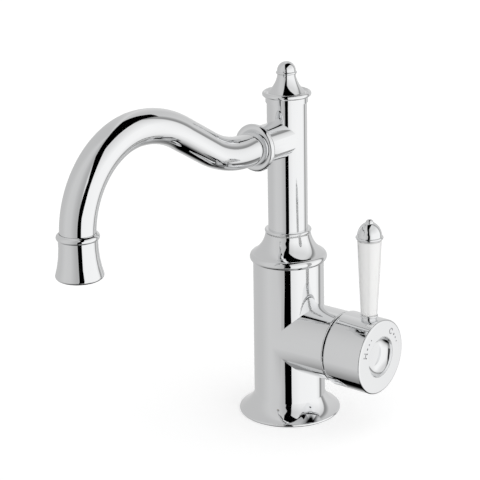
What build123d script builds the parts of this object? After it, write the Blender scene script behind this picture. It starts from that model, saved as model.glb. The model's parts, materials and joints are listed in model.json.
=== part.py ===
"""Gooseneck basin mixer with a side lever. Millimetres, +Z up.

The origin is the centre of the base flange on the deck. The spout points to -Y and the boss to +X.
"""
from build123d import *
import os
from math import atan2, cos, degrees, radians, sin

os.makedirs("parts", exist_ok=True)

# Fits and gaps
RUN = 0.05
THREAD_FIT = 0.05
FACE_GAP = 0.3

# Base and body
BODY_FOOT_R = 22.8
BODY_TOP_R = 22.3
BODY_TOP_Z = 101.5
FLANGE_SPREAD = 9.7
FLANGE_R = BODY_FOOT_R + FLANGE_SPREAD
FLANGE_LIP_H = 1.8
FLANGE_LIP_FOOT = 0.5
FLANGE_LIP_TOP = 0.7
FLANGE_H = 11.6
FLARE_MID = (0.36, 0.46)
GASKET_R_OUT = FLANGE_R - 3.5
GASKET_R_IN = GASKET_R_OUT - 4.0
GASKET_T = 1.8
SPIGOT_R = BODY_FOOT_R - 3.8
INLET_R = 4.5
INLET_X = 1.0
INLET_Y = 8.5
STUD_HOLE_R = 3.4
STUD_HOLE_X = -12.0
STUD_HOLE_DEPTH = 15.0
CHANNEL_R = 6.0
RISER_R = 3.2
RISER_X = -4.5
PORT_R = 3.0
PORT_Y = 7.5
PORT_RISE = 5.0
OUTLET_DROP = 7.5

# Side boss and cartridge seat
BOSS_Z = 52.0
BOSS_R = 22.5
BOSS_FACE_X = 42.0
SEAT_DEPTH = 33.0
SEAT_X = BOSS_FACE_X - SEAT_DEPTH
CARTRIDGE_R = 17.5
CARTRIDGE_FIT = 0.1
NUT_R = CARTRIDGE_R + 2.1
NUT_BACK_X = BOSS_FACE_X - 8.0
NUT_SINK = 0.5
SEAL_WALL = 1.4
SEAL_SINK = 1.2

# Cartridge, along the boss axis
BASE_GAP = 0.4
BASE_FLANGE_T = 2.1
BASE_T = 4.1
DISC_T = 3.0
FIXED_DISC_R = CARTRIDGE_R - 3.0
MOVING_DISC_R = FIXED_DISC_R - 3.0
CARRIER_T = 4.4
MIX_W = 17.0
MIX_H = 7.6
MIX_LAP = 0.4
MIX_DEPTH = 1.8
SHELL_WALL = 2.3
SHELL_LIP_T = 2.0
LIP_FIT = 0.1
ROTOR_NECK_R = MOVING_DISC_R - 0.2
ROTOR_NECK_L = 4.3
NUT_BORE_R = ROTOR_NECK_R + 0.7
PIVOT_X = BOSS_FACE_X - 15.0
PIN_R = 1.25
PIN_HALF = 14.0
SPINDLE_R = 3.6
SPINDLE_BACK_X = PIVOT_X - 1.8
TAIL_X = PIVOT_X - 5.0
TAIL_BALL_R = 2.0
TAIL_NECK_R = 1.3
TAIL_FIT = 0.1
SLOT_UP = SPINDLE_R + 0.8
SLOT_DOWN = SPINDLE_R + 3.2
DOME_R = NUT_R - 3.6
DOME_BORE_R = 11.2
DOME_T = 3.8
DOME_MID = (0.75, 2.0)
DOME_LIP = 0.8
NOTCH_W = 4.0
NOTCH_DEPTH = 1.5
NOTCH_L = 3.0

# Collar and swivel
COLLAR_SPIGOT_R = 14.5
COLLAR_SPIGOT_L = 15.5
COLLAR_SPIGOT_END_Z = BODY_TOP_Z - COLLAR_SPIGOT_L
TOP_BORE_Z = COLLAR_SPIGOT_END_Z - 6.0
COLLAR_BULGE = 2.05
COLLAR_BULGE_R = BODY_TOP_R + COLLAR_BULGE
COLLAR_BULGE_Z = BODY_TOP_Z + 2.7
COLLAR_STEP = 0.1
COLLAR_SHOULDER_R = BODY_TOP_R - COLLAR_STEP
COLLAR_SHOULDER_Z = BODY_TOP_Z + 5.5
COLLAR_H = 18.5
COLLAR_SWEEP = (0.42, 0.34)
COLLAR_TOP_Z = BODY_TOP_Z + COLLAR_H
BUSH_T = 1.85
BUSH_H = 5.0
UPPER_BUSH_H = 8.0
BUSH_FLANGE_T = 0.5
TAIL_R = 9.0
TAIL_BORE_R = TAIL_R - 2.5
TAIL_END_Z = COLLAR_SPIGOT_END_Z - 4.0
COLLAR_NECK_R = TAIL_R + 5.2
BUSH_FLANGE_R = COLLAR_NECK_R - 1.2
RING_BORE_R = TAIL_R + 1.3
O_RING_T = 2.4
O_RING_FLOOR_R = TAIL_R - 0.8
O_RING_Z = (COLLAR_SPIGOT_END_Z + 10.0, COLLAR_SPIGOT_END_Z + 17.0)
CLIP_T = 1.2
GROOVE_CLEAR = 1.0
CLIP_R = RING_BORE_R + 0.1
CLIP_FLOOR_R = TAIL_R - 0.8

# Column and its cap
COLUMN_R = 12.4
COLUMN_H = 83.15
COLUMN_FOOT_Z = COLLAR_TOP_Z + BUSH_FLANGE_T + RUN
COLUMN_TOP_Z = COLUMN_FOOT_Z + COLUMN_H
COLUMN_BORE_R = COLUMN_R - 2.6
COLUMN_BORE_Z = COLUMN_FOOT_Z + 5.5
COLUMN_BORE_TOP_Z = COLUMN_TOP_Z - 11.7
FOOT_BEAD_R = COLUMN_R + 2.3
FOOT_BEAD_H = 2.0
PLUG_R = COLUMN_R - 4.4
PLUG_Z = COLUMN_TOP_Z - 7.7
PLUG_GAP = 0.4
PLUG_SEAL_Z = PLUG_Z + 2.0
PLUG_SEAL_T = 2.0
PLUG_SEAL_FLOOR_R = PLUG_R - 1.6
SKIRT_R = COLUMN_R + 0.7
CAP_RING_THICK_R = 1.6
CAP_RING_R = SKIRT_R + 2.0
CAP_RING_Z = COLUMN_TOP_Z + 5.1
DISH_R = CAP_RING_R - 3.5
DISH_RIM = 1.2
DISH_Z = CAP_RING_Z + 0.4

# Finial
STUD_R = 3.0
STUD_FOOT_Z = COLUMN_TOP_Z - 4.7
FLARE_R = DISH_R - 0.3
FLARE_H = 11.7
FLARE_FOOT_H = 0.8
FLARE_NECK_H = 1.2
FLARE_NECK_R = 5.7
FLARE_SWEEP = (0.34, 0.48)
FLARE_TOP_Z = DISH_Z + FLARE_H
STUD_TOP_Z = FLARE_TOP_Z + 3.6
FINIAL_BEAD_THICK_R = 0.8
FINIAL_BEAD_Z = FLARE_TOP_Z + 1.0
DOME_BASE_R = FLARE_NECK_R + 0.05
FINIAL_BEAD_R = DOME_BASE_R + 0.7
FINIAL_DOME_RISE = 1.05
FINIAL_TOP_Z = FINIAL_BEAD_Z + FINIAL_DOME_RISE + DOME_BASE_R

# Spout
SPOUT_Z = COLUMN_TOP_Z - 22.2
SPOUT_REACH = 185.9
CREST_RISE = 34.4
OUTLET_BEND_R = 49.5
CROOK_STEEPNESS = 1.56
TUBE_R = 10.1
TUBE_WALL = 1.5
STUB_R = TUBE_R + 1.7
STUB_END = COLUMN_R + 17.3
STUB_BORE_R = TUBE_R - 3.1
SOCKET_START = STUB_END - 11.2
SOCKET_SEAL_T = 2.0
SPOUT_RING_W = 4.6
SPOUT_RING_R = TUBE_R + SPOUT_RING_W
LEVEL_RUN = 6.2
TUBE_DROP = 5.4

# Nozzle and aerator
BEND_END_Z = SPOUT_Z + CREST_RISE - OUTLET_BEND_R
TUBE_END_Z = BEND_END_Z - TUBE_DROP
NOZZLE_TOP_Z = TUBE_END_Z + 8.2
NOZZLE_LIP = 0.35
NOZZLE_BEAD_R = TUBE_R + 1.85
NOZZLE_BEAD_Z = TUBE_END_Z + 6.0
NOZZLE_BEAD_H = 3.4
NOZZLE_NECK_R = TUBE_R + 0.75
NOZZLE_NECK_Z = TUBE_END_Z - 0.5
NOZZLE_WAIST_R = TUBE_R + 1.2
NOZZLE_WAIST_Z = TUBE_END_Z - 6.0
NOZZLE_RIM_R = TUBE_R + 3.25
NOZZLE_RIM_Z = TUBE_END_Z - 15.6
NOZZLE_END_R = NOZZLE_RIM_R - 1.15
NOZZLE_END_Z = NOZZLE_RIM_Z - 2.0
NOZZLE_RIM_MID = (0.3, 0.7)
NOZZLE_BORE_R = TUBE_R - 1.9
BEND_RELIEF = 0.12
AERATOR_R = TUBE_R - 0.2
AERATOR_SHOULDER_Z = TUBE_END_Z - 5.0
AERATOR_SEAL_T = 1.8
AERATOR_SEAL_LAP = 1.0
AERATOR_INSET = 0.8
AERATOR_WALL = 1.3
INSERT_H = 6.0
JET_R = 0.55
JET_PITCH_R = 1.1
JET_COUNT = 5

# Handle cap
CAP_R = BOSS_R + 1.2
CAP_BORE_R = CAP_R - 1.8
CAP_GAP = 1.4
CAP_L = 27.4
CAP_FRONT_X = BOSS_FACE_X + CAP_GAP + CAP_L
CAP_REAR_ROUND = 1.6
CAP_FRONT_ROUND = 1.2
CAVITY_X = CAP_FRONT_X - 13.8
HUB_R = 9.0
HUB_BACK_X = CAP_FRONT_X - 20.3
SPINDLE_END_X = CAP_FRONT_X - 10.8
RECESS_R = 12.9
RECESS_DEPTH = 5.2
INDEX_T = 1.6
INDEX_RISE = 0.9
INDEX_FLAT_R = 1.0
MARK_DEPTH = 0.3
MARK_R = (RECESS_R + CAP_R) / 2 - 0.7
COLD_ANGLE = 52.0
HOT_ANGLE = 160.0
MARK_H = 4.0
MARK_STROKE = 0.8
COLD_GAP_L = MARK_H * 0.8
COLD_GAP_W = MARK_H * 0.45
HOT_STEM_X = MARK_H * 0.35
MARK_DOT_R = (0.75, 0.6, 0.45)
MARK_DOT_STEP = 10.0
MARK_DOT_START = 1.4
GRUB_X = CAP_FRONT_X - 15.8
GRUB_R = 2.1
GRUB_L = 4.6
GRUB_ACCESS_R = 2.6
GRUB_HEX = 2.5

# Lever
LEVER_X = CAP_FRONT_X - 9.0
LEVER_STUD_R = 3.0
LEVER_STUD_FOOT = 12.0
NECK_SEAT_Z = BOSS_Z + CAP_R - 0.6
NECK_BEAD_Z = NECK_SEAT_Z + 2.6
NECK_TOP_Z = NECK_BEAD_Z + 0.7
LOW_WASHER_T = 0.4
SLEEVE_L = 47.5
SLEEVE_LOW_R = 5.1
SLEEVE_TOP_R = 7.45
SLEEVE_FULLNESS = 0.12
SLEEVE_BORE_R = LEVER_STUD_R + 0.3
SLEEVE_TOP_Z = NECK_TOP_Z + LOW_WASHER_T + SLEEVE_L
LOW_WASHER_R = SLEEVE_LOW_R - 0.4
NECK_R = SLEEVE_LOW_R - 0.3
NECK_BEAD_R = NECK_R + 0.8
TOP_WASHER_T = 0.5
TOP_WASHER_R = SLEEVE_TOP_R - 0.55
TIP_FOOT_Z = SLEEVE_TOP_Z + TOP_WASHER_T
LEVER_STUD_TOP_Z = TIP_FOOT_Z + 7.2
TIP_RIM_R = SLEEVE_TOP_R + 0.05
TIP_BEAD_R = TIP_RIM_R + 1.0
TIP_BEAD_Z = TIP_FOOT_Z + 1.2
TIP_BEAD_THICK_R = 0.9
TIP_DOME_R = TIP_RIM_R + 0.1
TIP_DOME_MID_R = TIP_DOME_R - 1.25
TIP_DOME_MID_Z = TIP_FOOT_Z + 6.9
TIP_DOME_END_R = TIP_DOME_R - 4.75
TIP_DOME_END_Z = TIP_FOOT_Z + 10.4
TIP_BALL_R = 2.6
TIP_TOP_Z = TIP_FOOT_Z + 12.7

# Axes and planes that several pieces share
BOSS_AXIS = Axis((0, 0, BOSS_Z), (1, 0, 0))
SPOUT_AXIS = Axis((0, 0, SPOUT_Z), (0, 1, 0))
NOZZLE_AXIS = Axis((0, -SPOUT_REACH, 0), (0, 0, 1))
LEVER_AXIS = Axis((LEVER_X, 0, 0), (0, 0, 1))
COLUMN_SECTION = Plane.XZ
BOSS_SECTION = Plane(origin=(0, 0, BOSS_Z), x_dir=(1, 0, 0), z_dir=(0, -1, 0))
SPOUT_SECTION = Plane(origin=(0, 0, SPOUT_Z), x_dir=(0, -1, 0), z_dir=(-1, 0, 0))
ROUTE_PLANE = Plane(origin=(0, 0, 0), x_dir=(0, -1, 0), z_dir=(-1, 0, 0))
NOZZLE_SECTION = Plane(origin=(0, -SPOUT_REACH, 0), x_dir=(1, 0, 0), z_dir=(0, -1, 0))
LEVER_SECTION = Plane(origin=(LEVER_X, 0, 0), x_dir=(1, 0, 0), z_dir=(0, -1, 0))

# Places worked out from the sizes above
base_front_x = SEAT_X + BASE_GAP + BASE_T
shell_back_x = SEAT_X + BASE_GAP + BASE_FLANGE_T
shell_bore_r = CARTRIDGE_R - SHELL_WALL
moving_disc_x = base_front_x + DISC_T
carrier_x = moving_disc_x + DISC_T
carrier_front_x = carrier_x + CARRIER_T
rotor_back_x = carrier_front_x + FACE_GAP
rotor_front_x = NUT_BACK_X - SHELL_LIP_T - FACE_GAP
nut_front_x = BOSS_FACE_X - NUT_SINK
cap_back_x = BOSS_FACE_X + CAP_GAP
recess_floor_x = CAP_FRONT_X - RECESS_DEPTH
collar_bore_r = TAIL_R + RUN + BUSH_T
bush_flange_top_z = COLLAR_TOP_Z + BUSH_FLANGE_T
foot_bead_top_z = COLUMN_FOOT_Z + FOOT_BEAD_H
clip_z = COLLAR_SPIGOT_END_Z - FACE_GAP - CLIP_T
tube_start = SOCKET_START + SOCKET_SEAL_T
sleeve_foot_z = NECK_TOP_Z + LOW_WASHER_T
inlet_ports = ((PORT_Y, PORT_RISE), (-PORT_Y, PORT_RISE))
inlet_top_z = BOSS_Z + PORT_RISE + PORT_R
outlet_port = (0, -OUTLET_DROP)
riser_top_z = inlet_top_z + 3.0


def face_plane(x):
    """Plane across the boss axis at x, with its first direction along +Y."""
    return Plane(origin=(x, 0, BOSS_Z), x_dir=(0, 1, 0), z_dir=(1, 0, 0))


def mark_place(angle, turn):
    """Place of a mark on the cap's face, at an angle round it and turned in its plane."""
    return Location((MARK_R * cos(radians(angle)), MARK_R * sin(radians(angle))), turn)


def tube_outline(r_in, r_out, low, high):
    """Section of a plain ring, first direction from the axis."""
    Polyline((r_in, low), (r_out, low), (r_out, high), (r_in, high), close=True)


def along_outline(start, end, r_in, r_out):
    """Section of a plain ring, first direction along the axis."""
    Polyline((start, r_in), (end, r_in), (end, r_out), (start, r_out), close=True)


# Deck gasket, in a groove under the flange
with BuildPart() as base_gasket:
    with BuildSketch(COLUMN_SECTION):
        with BuildLine():
            tube_outline(GASKET_R_IN, GASKET_R_OUT, 0, GASKET_T)
        make_face()
    revolve(axis=Axis.Z)
base_gasket.part.label = "base_gasket"
export_step(base_gasket.part, "parts/base_gasket.step")

# Base flange, a lip and a concave flare up to the body
lip_foot_r = FLANGE_R - FLANGE_LIP_FOOT
lip_top_r = FLANGE_R - FLANGE_LIP_TOP
flare_mid_r = BODY_FOOT_R + (lip_top_r - BODY_FOOT_R) * FLARE_MID[0]
flare_mid_z = FLANGE_LIP_H + (FLANGE_H - FLANGE_LIP_H) * FLARE_MID[1]
with BuildPart() as base_flange:
    with BuildSketch(COLUMN_SECTION):
        with BuildLine():
            lip = ThreePointArc((lip_foot_r, 0), (FLANGE_R, FLANGE_LIP_H / 2), (lip_top_r, FLANGE_LIP_H))
            flare = ThreePointArc(lip @ 1, (flare_mid_r, flare_mid_z), (BODY_FOOT_R, FLANGE_H))
            Polyline(flare @ 1, (SPIGOT_R + RUN, FLANGE_H), (SPIGOT_R + RUN, 0), lip @ 0)
        make_face()
    revolve(axis=Axis.Z)
    with BuildSketch(Plane.XY):
        Circle(GASKET_R_OUT)
        Circle(GASKET_R_IN, mode=Mode.SUBTRACT)
    extrude(amount=GASKET_T, mode=Mode.SUBTRACT)
base_flange.part.label = "base_flange"
export_step(base_flange.part, "parts/base_flange.step")

# Body casting with the side boss, its seat and the waterways
with BuildPart() as mixer_body:
    with BuildSketch(COLUMN_SECTION):
        with BuildLine():
            Polyline(
                (0, 0),
                (SPIGOT_R, 0),
                (SPIGOT_R, FLANGE_H),
                (BODY_FOOT_R, FLANGE_H),
                (BODY_TOP_R, BODY_TOP_Z),
                (0, BODY_TOP_Z),
                close=True,
            )
        make_face()
    revolve(axis=Axis.Z)
    with BuildSketch(face_plane(0)):
        Circle(BOSS_R)
    extrude(amount=BOSS_FACE_X)
    with BuildSketch(face_plane(BOSS_FACE_X)):
        Circle(CARTRIDGE_R + CARTRIDGE_FIT)
    extrude(amount=SEAT_X - BOSS_FACE_X, mode=Mode.SUBTRACT)
    with BuildSketch(face_plane(BOSS_FACE_X)):
        Circle(NUT_R)
    extrude(amount=NUT_BACK_X - BOSS_FACE_X, mode=Mode.SUBTRACT)
    with BuildSketch(Plane.XY.offset(BODY_TOP_Z)):
        Circle(COLLAR_SPIGOT_R)
    extrude(amount=TOP_BORE_Z - BODY_TOP_Z, mode=Mode.SUBTRACT)
    with BuildSketch(Plane.XY.offset(TOP_BORE_Z)):
        Circle(CHANNEL_R)
    extrude(amount=riser_top_z - TOP_BORE_Z, mode=Mode.SUBTRACT)
    with BuildSketch(Plane.XY.offset(riser_top_z)):
        with Locations((RISER_X, 0)):
            Circle(RISER_R)
    extrude(amount=BOSS_Z - OUTLET_DROP - PORT_R - riser_top_z, mode=Mode.SUBTRACT)
    with BuildSketch(face_plane(SEAT_X)):
        with Locations(outlet_port):
            Circle(PORT_R)
    extrude(amount=RISER_X - SEAT_X, mode=Mode.SUBTRACT)
    with BuildSketch(face_plane(SEAT_X)):
        with Locations(*inlet_ports):
            Circle(PORT_R)
    extrude(amount=INLET_X - SEAT_X, mode=Mode.SUBTRACT)
    with BuildSketch(Plane.XY):
        with Locations((INLET_X, INLET_Y), (INLET_X, -INLET_Y)):
            Circle(INLET_R)
    extrude(amount=inlet_top_z, mode=Mode.SUBTRACT)
    with BuildSketch(Plane.XY):
        with Locations((STUD_HOLE_X, 0)):
            Circle(STUD_HOLE_R)
    extrude(amount=STUD_HOLE_DEPTH, mode=Mode.SUBTRACT)
mixer_body.part.label = "mixer_body"
export_step(mixer_body.part, "parts/mixer_body.step")

# Shoulder collar, screwed into the body's top
collar_low_r = BODY_TOP_R + COLLAR_STEP
with BuildPart() as shoulder_collar:
    with BuildSketch(COLUMN_SECTION):
        with BuildLine():
            bulge = ThreePointArc(
                (collar_low_r, BODY_TOP_Z),
                (COLLAR_BULGE_R, COLLAR_BULGE_Z),
                (COLLAR_SHOULDER_R, COLLAR_SHOULDER_Z),
            )
            neck = ThreePointArc(
                bulge @ 1,
                (
                    COLLAR_NECK_R + (COLLAR_SHOULDER_R - COLLAR_NECK_R) * COLLAR_SWEEP[0],
                    COLLAR_SHOULDER_Z + (COLLAR_TOP_Z - COLLAR_SHOULDER_Z) * COLLAR_SWEEP[1],
                ),
                (COLLAR_NECK_R, COLLAR_TOP_Z - FACE_GAP),
            )
            Polyline(
                neck @ 1,
                (COLLAR_NECK_R, COLLAR_TOP_Z),
                (collar_bore_r, COLLAR_TOP_Z),
                (collar_bore_r, COLLAR_TOP_Z - UPPER_BUSH_H),
                (RING_BORE_R, COLLAR_TOP_Z - UPPER_BUSH_H),
                (RING_BORE_R, COLLAR_SPIGOT_END_Z + BUSH_H),
                (collar_bore_r, COLLAR_SPIGOT_END_Z + BUSH_H),
                (collar_bore_r, COLLAR_SPIGOT_END_Z),
                (COLLAR_SPIGOT_R - THREAD_FIT, COLLAR_SPIGOT_END_Z),
                (COLLAR_SPIGOT_R - THREAD_FIT, BODY_TOP_Z),
                bulge @ 0,
            )
        make_face()
    revolve(axis=Axis.Z)
shoulder_collar.part.label = "shoulder_collar"
export_step(shoulder_collar.part, "parts/shoulder_collar.step")

# Lower swivel bush
with BuildPart() as lower_bush:
    with BuildSketch(COLUMN_SECTION):
        with BuildLine():
            tube_outline(TAIL_R + RUN, collar_bore_r, COLLAR_SPIGOT_END_Z, COLLAR_SPIGOT_END_Z + BUSH_H)
        make_face()
    revolve(axis=Axis.Z)
lower_bush.part.label = "lower_bush"
export_step(lower_bush.part, "parts/lower_bush.step")

# Upper swivel bush, with the flange that the column runs on
with BuildPart() as upper_bush:
    with BuildSketch(COLUMN_SECTION):
        with BuildLine():
            Polyline(
                (TAIL_R + RUN, COLLAR_TOP_Z - UPPER_BUSH_H),
                (collar_bore_r, COLLAR_TOP_Z - UPPER_BUSH_H),
                (collar_bore_r, COLLAR_TOP_Z),
                (BUSH_FLANGE_R, COLLAR_TOP_Z),
                (BUSH_FLANGE_R, bush_flange_top_z),
                (TAIL_R + RUN, bush_flange_top_z),
                close=True,
            )
        make_face()
    revolve(axis=Axis.Z)
upper_bush.part.label = "upper_bush"
export_step(upper_bush.part, "parts/upper_bush.step")

# O-rings on the column's tail
with BuildPart() as spout_o_rings:
    for ring_z in O_RING_Z:
        with BuildSketch(COLUMN_SECTION):
            with BuildLine():
                tube_outline(O_RING_FLOOR_R, RING_BORE_R - RUN, ring_z, ring_z + O_RING_T)
            make_face()
        revolve(axis=Axis.Z)
spout_o_rings.part.label = "spout_o_rings"
export_step(spout_o_rings.part, "parts/spout_o_rings.step")

# Clip that keeps the column down
with BuildPart() as swivel_clip:
    with BuildSketch(COLUMN_SECTION):
        with BuildLine():
            tube_outline(CLIP_FLOOR_R, CLIP_R, clip_z, clip_z + CLIP_T)
        make_face()
    revolve(axis=Axis.Z)
swivel_clip.part.label = "swivel_clip"
export_step(swivel_clip.part, "parts/swivel_clip.step")

# Column with its tail, foot bead and spout stub
with BuildPart() as column:
    with BuildSketch(COLUMN_SECTION):
        with BuildLine():
            bead_side_r = FOOT_BEAD_R - FOOT_BEAD_H / 2
            bead = ThreePointArc(
                (bead_side_r, COLUMN_FOOT_Z),
                (FOOT_BEAD_R, COLUMN_FOOT_Z + FOOT_BEAD_H / 2),
                (bead_side_r, foot_bead_top_z),
            )
            Polyline(
                bead @ 1,
                (COLUMN_R, foot_bead_top_z),
                (COLUMN_R, COLUMN_TOP_Z),
                (0, COLUMN_TOP_Z),
                (0, TAIL_END_Z),
                (TAIL_R, TAIL_END_Z),
                (TAIL_R, COLUMN_FOOT_Z),
                bead @ 0,
            )
        make_face()
    revolve(axis=Axis.Z)
    with BuildSketch(Plane.XZ):
        with Locations((0, SPOUT_Z)):
            Circle(STUB_R)
    extrude(amount=STUB_END)
    with BuildSketch(Plane.XY.offset(TAIL_END_Z)):
        Circle(TAIL_BORE_R)
    extrude(amount=COLUMN_BORE_Z - TAIL_END_Z, mode=Mode.SUBTRACT)
    with BuildSketch(Plane.XY.offset(COLUMN_BORE_Z)):
        Circle(COLUMN_BORE_R)
    extrude(amount=COLUMN_BORE_TOP_Z - COLUMN_BORE_Z, mode=Mode.SUBTRACT)
    with BuildSketch(Plane.XY.offset(PLUG_Z)):
        Circle(PLUG_R)
    extrude(amount=COLUMN_TOP_Z - PLUG_Z, mode=Mode.SUBTRACT)
    with BuildSketch(Plane.XZ):
        with Locations((0, SPOUT_Z)):
            Circle(STUB_BORE_R)
    extrude(amount=STUB_END, mode=Mode.SUBTRACT)
    with BuildSketch(Plane.XZ.offset(SOCKET_START)):
        with Locations((0, SPOUT_Z)):
            Circle(TUBE_R)
    extrude(amount=STUB_END - SOCKET_START, mode=Mode.SUBTRACT)
    for ring_z in O_RING_Z:
        with BuildSketch(Plane.XY.offset(ring_z)):
            Circle(TAIL_R + GROOVE_CLEAR)
            Circle(O_RING_FLOOR_R, mode=Mode.SUBTRACT)
        extrude(amount=O_RING_T, mode=Mode.SUBTRACT)
    with BuildSketch(Plane.XY.offset(clip_z)):
        Circle(TAIL_R + GROOVE_CLEAR)
        Circle(CLIP_FLOOR_R, mode=Mode.SUBTRACT)
    extrude(amount=CLIP_T, mode=Mode.SUBTRACT)
column.part.label = "column"
export_step(column.part, "parts/column.step")

# Seal at the tube's end in the stub
with BuildPart() as spout_seal:
    with BuildSketch(SPOUT_SECTION):
        with BuildLine():
            along_outline(SOCKET_START, tube_start, STUB_BORE_R, TUBE_R)
        make_face()
    revolve(axis=SPOUT_AXIS)
spout_seal.part.label = "spout_seal"
export_step(spout_seal.part, "parts/spout_seal.step")

# Half-round ring where the tube enters the stub
with BuildPart() as spout_ring:
    with BuildSketch(SPOUT_SECTION):
        with BuildLine():
            ring_end = STUB_END + SPOUT_RING_W
            ring_side_r = SPOUT_RING_R - SPOUT_RING_W / 2
            crown = ThreePointArc(
                (STUB_END, ring_side_r),
                (STUB_END + SPOUT_RING_W / 2, SPOUT_RING_R),
                (ring_end, ring_side_r),
            )
            Polyline(crown @ 1, (ring_end, TUBE_R), (STUB_END, TUBE_R), crown @ 0)
        make_face()
    revolve(axis=SPOUT_AXIS)
spout_ring.part.label = "spout_ring"
export_step(spout_ring.part, "parts/spout_ring.step")

# Gooseneck tube: level, a rise, the crest and the drop to the nozzle
bend_start = STUB_END + SPOUT_RING_W + LEVEL_RUN
rise_reach = SPOUT_REACH - OUTLET_BEND_R - bend_start
rise = CROOK_STEEPNESS * atan2(CREST_RISE, rise_reach)
both_bends = (rise_reach * sin(rise) - CREST_RISE * cos(rise)) / (1 - cos(rise))
slope_length = (rise_reach - both_bends * sin(rise)) / cos(rise)
rise_angle = degrees(rise)
with BuildPart() as spout_crook:
    with BuildLine(ROUTE_PLANE) as route:
        level = Line((tube_start, SPOUT_Z), (bend_start, SPOUT_Z))
        foot_bend = JernArc(start=level @ 1, tangent=level % 1, radius=both_bends / 2, arc_size=rise_angle)
        slope = Line(foot_bend @ 1, foot_bend @ 1 + (foot_bend % 1) * slope_length)
        crest = JernArc(start=slope @ 1, tangent=slope % 1, radius=both_bends / 2, arc_size=-rise_angle)
        drop = JernArc(start=crest @ 1, tangent=crest % 1, radius=OUTLET_BEND_R, arc_size=-90)
        Line(drop @ 1, (SPOUT_REACH, TUBE_END_Z))
    with BuildSketch(Plane.XZ.offset(tube_start)):
        with Locations((0, SPOUT_Z)):
            Circle(TUBE_R)
            Circle(TUBE_R - TUBE_WALL, mode=Mode.SUBTRACT)
    sweep(path=route.wires()[0])
spout_crook.part.label = "spout_crook"
export_step(spout_crook.part, "parts/spout_crook.step")

# Bell-shaped nozzle on the tube's end
with BuildPart() as nozzle:
    with BuildSketch(NOZZLE_SECTION):
        with BuildLine():
            bead_low_z = NOZZLE_BEAD_Z - NOZZLE_BEAD_H / 2
            bead_high_z = NOZZLE_BEAD_Z + NOZZLE_BEAD_H / 2
            bell_bead = ThreePointArc(
                (NOZZLE_NECK_R, bead_low_z),
                (NOZZLE_BEAD_R, NOZZLE_BEAD_Z),
                (NOZZLE_NECK_R, bead_high_z),
            )
            Polyline(
                bell_bead @ 1,
                (TUBE_R + NOZZLE_LIP, NOZZLE_TOP_Z),
                (TUBE_R + BEND_RELIEF, NOZZLE_TOP_Z),
                (TUBE_R + BEND_RELIEF, BEND_END_Z),
                (TUBE_R, BEND_END_Z),
                (TUBE_R, TUBE_END_Z),
                (NOZZLE_BORE_R, TUBE_END_Z),
                (NOZZLE_BORE_R, AERATOR_SHOULDER_Z),
                (AERATOR_R, AERATOR_SHOULDER_Z),
                (AERATOR_R, NOZZLE_END_Z),
                (NOZZLE_END_R, NOZZLE_END_Z),
            )
            rim = ThreePointArc(
                (NOZZLE_END_R, NOZZLE_END_Z),
                (NOZZLE_RIM_R - NOZZLE_RIM_MID[0], NOZZLE_END_Z + NOZZLE_RIM_MID[1]),
                (NOZZLE_RIM_R, NOZZLE_RIM_Z),
            )
            bell = ThreePointArc(rim @ 1, (NOZZLE_WAIST_R, NOZZLE_WAIST_Z), (NOZZLE_NECK_R, NOZZLE_NECK_Z))
            Line(bell @ 1, bell_bead @ 0)
        make_face()
    revolve(axis=NOZZLE_AXIS)
nozzle.part.label = "nozzle"
export_step(nozzle.part, "parts/nozzle.step")

# Aerator seal, housing and perforated insert
aerator_top_z = AERATOR_SHOULDER_Z - AERATOR_SEAL_T
aerator_low_z = NOZZLE_END_Z + AERATOR_INSET
aerator_bore_r = AERATOR_R - THREAD_FIT - AERATOR_WALL
seal_bore_r = aerator_bore_r - AERATOR_SEAL_LAP
with BuildPart() as aerator_seal:
    with BuildSketch(NOZZLE_SECTION):
        with BuildLine():
            tube_outline(seal_bore_r, AERATOR_R - THREAD_FIT, aerator_top_z, AERATOR_SHOULDER_Z)
        make_face()
    revolve(axis=NOZZLE_AXIS)
aerator_seal.part.label = "aerator_seal"
export_step(aerator_seal.part, "parts/aerator_seal.step")

with BuildPart() as aerator_housing:
    with BuildSketch(NOZZLE_SECTION):
        with BuildLine():
            tube_outline(aerator_bore_r, AERATOR_R - THREAD_FIT, aerator_low_z, aerator_top_z)
        make_face()
    revolve(axis=NOZZLE_AXIS)
aerator_housing.part.label = "aerator_housing"
export_step(aerator_housing.part, "parts/aerator_housing.step")

insert_plane = Plane(origin=(0, -SPOUT_REACH, aerator_top_z - INSERT_H), x_dir=(1, 0, 0), z_dir=(0, 0, 1))
with BuildPart() as aerator_insert:
    with BuildSketch(insert_plane):
        Circle(aerator_bore_r)
        with HexLocations(JET_PITCH_R, JET_COUNT, JET_COUNT):
            Circle(JET_R, mode=Mode.SUBTRACT)
    extrude(amount=INSERT_H)
aerator_insert.part.label = "aerator_insert"
export_step(aerator_insert.part, "parts/aerator_insert.step")

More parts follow.
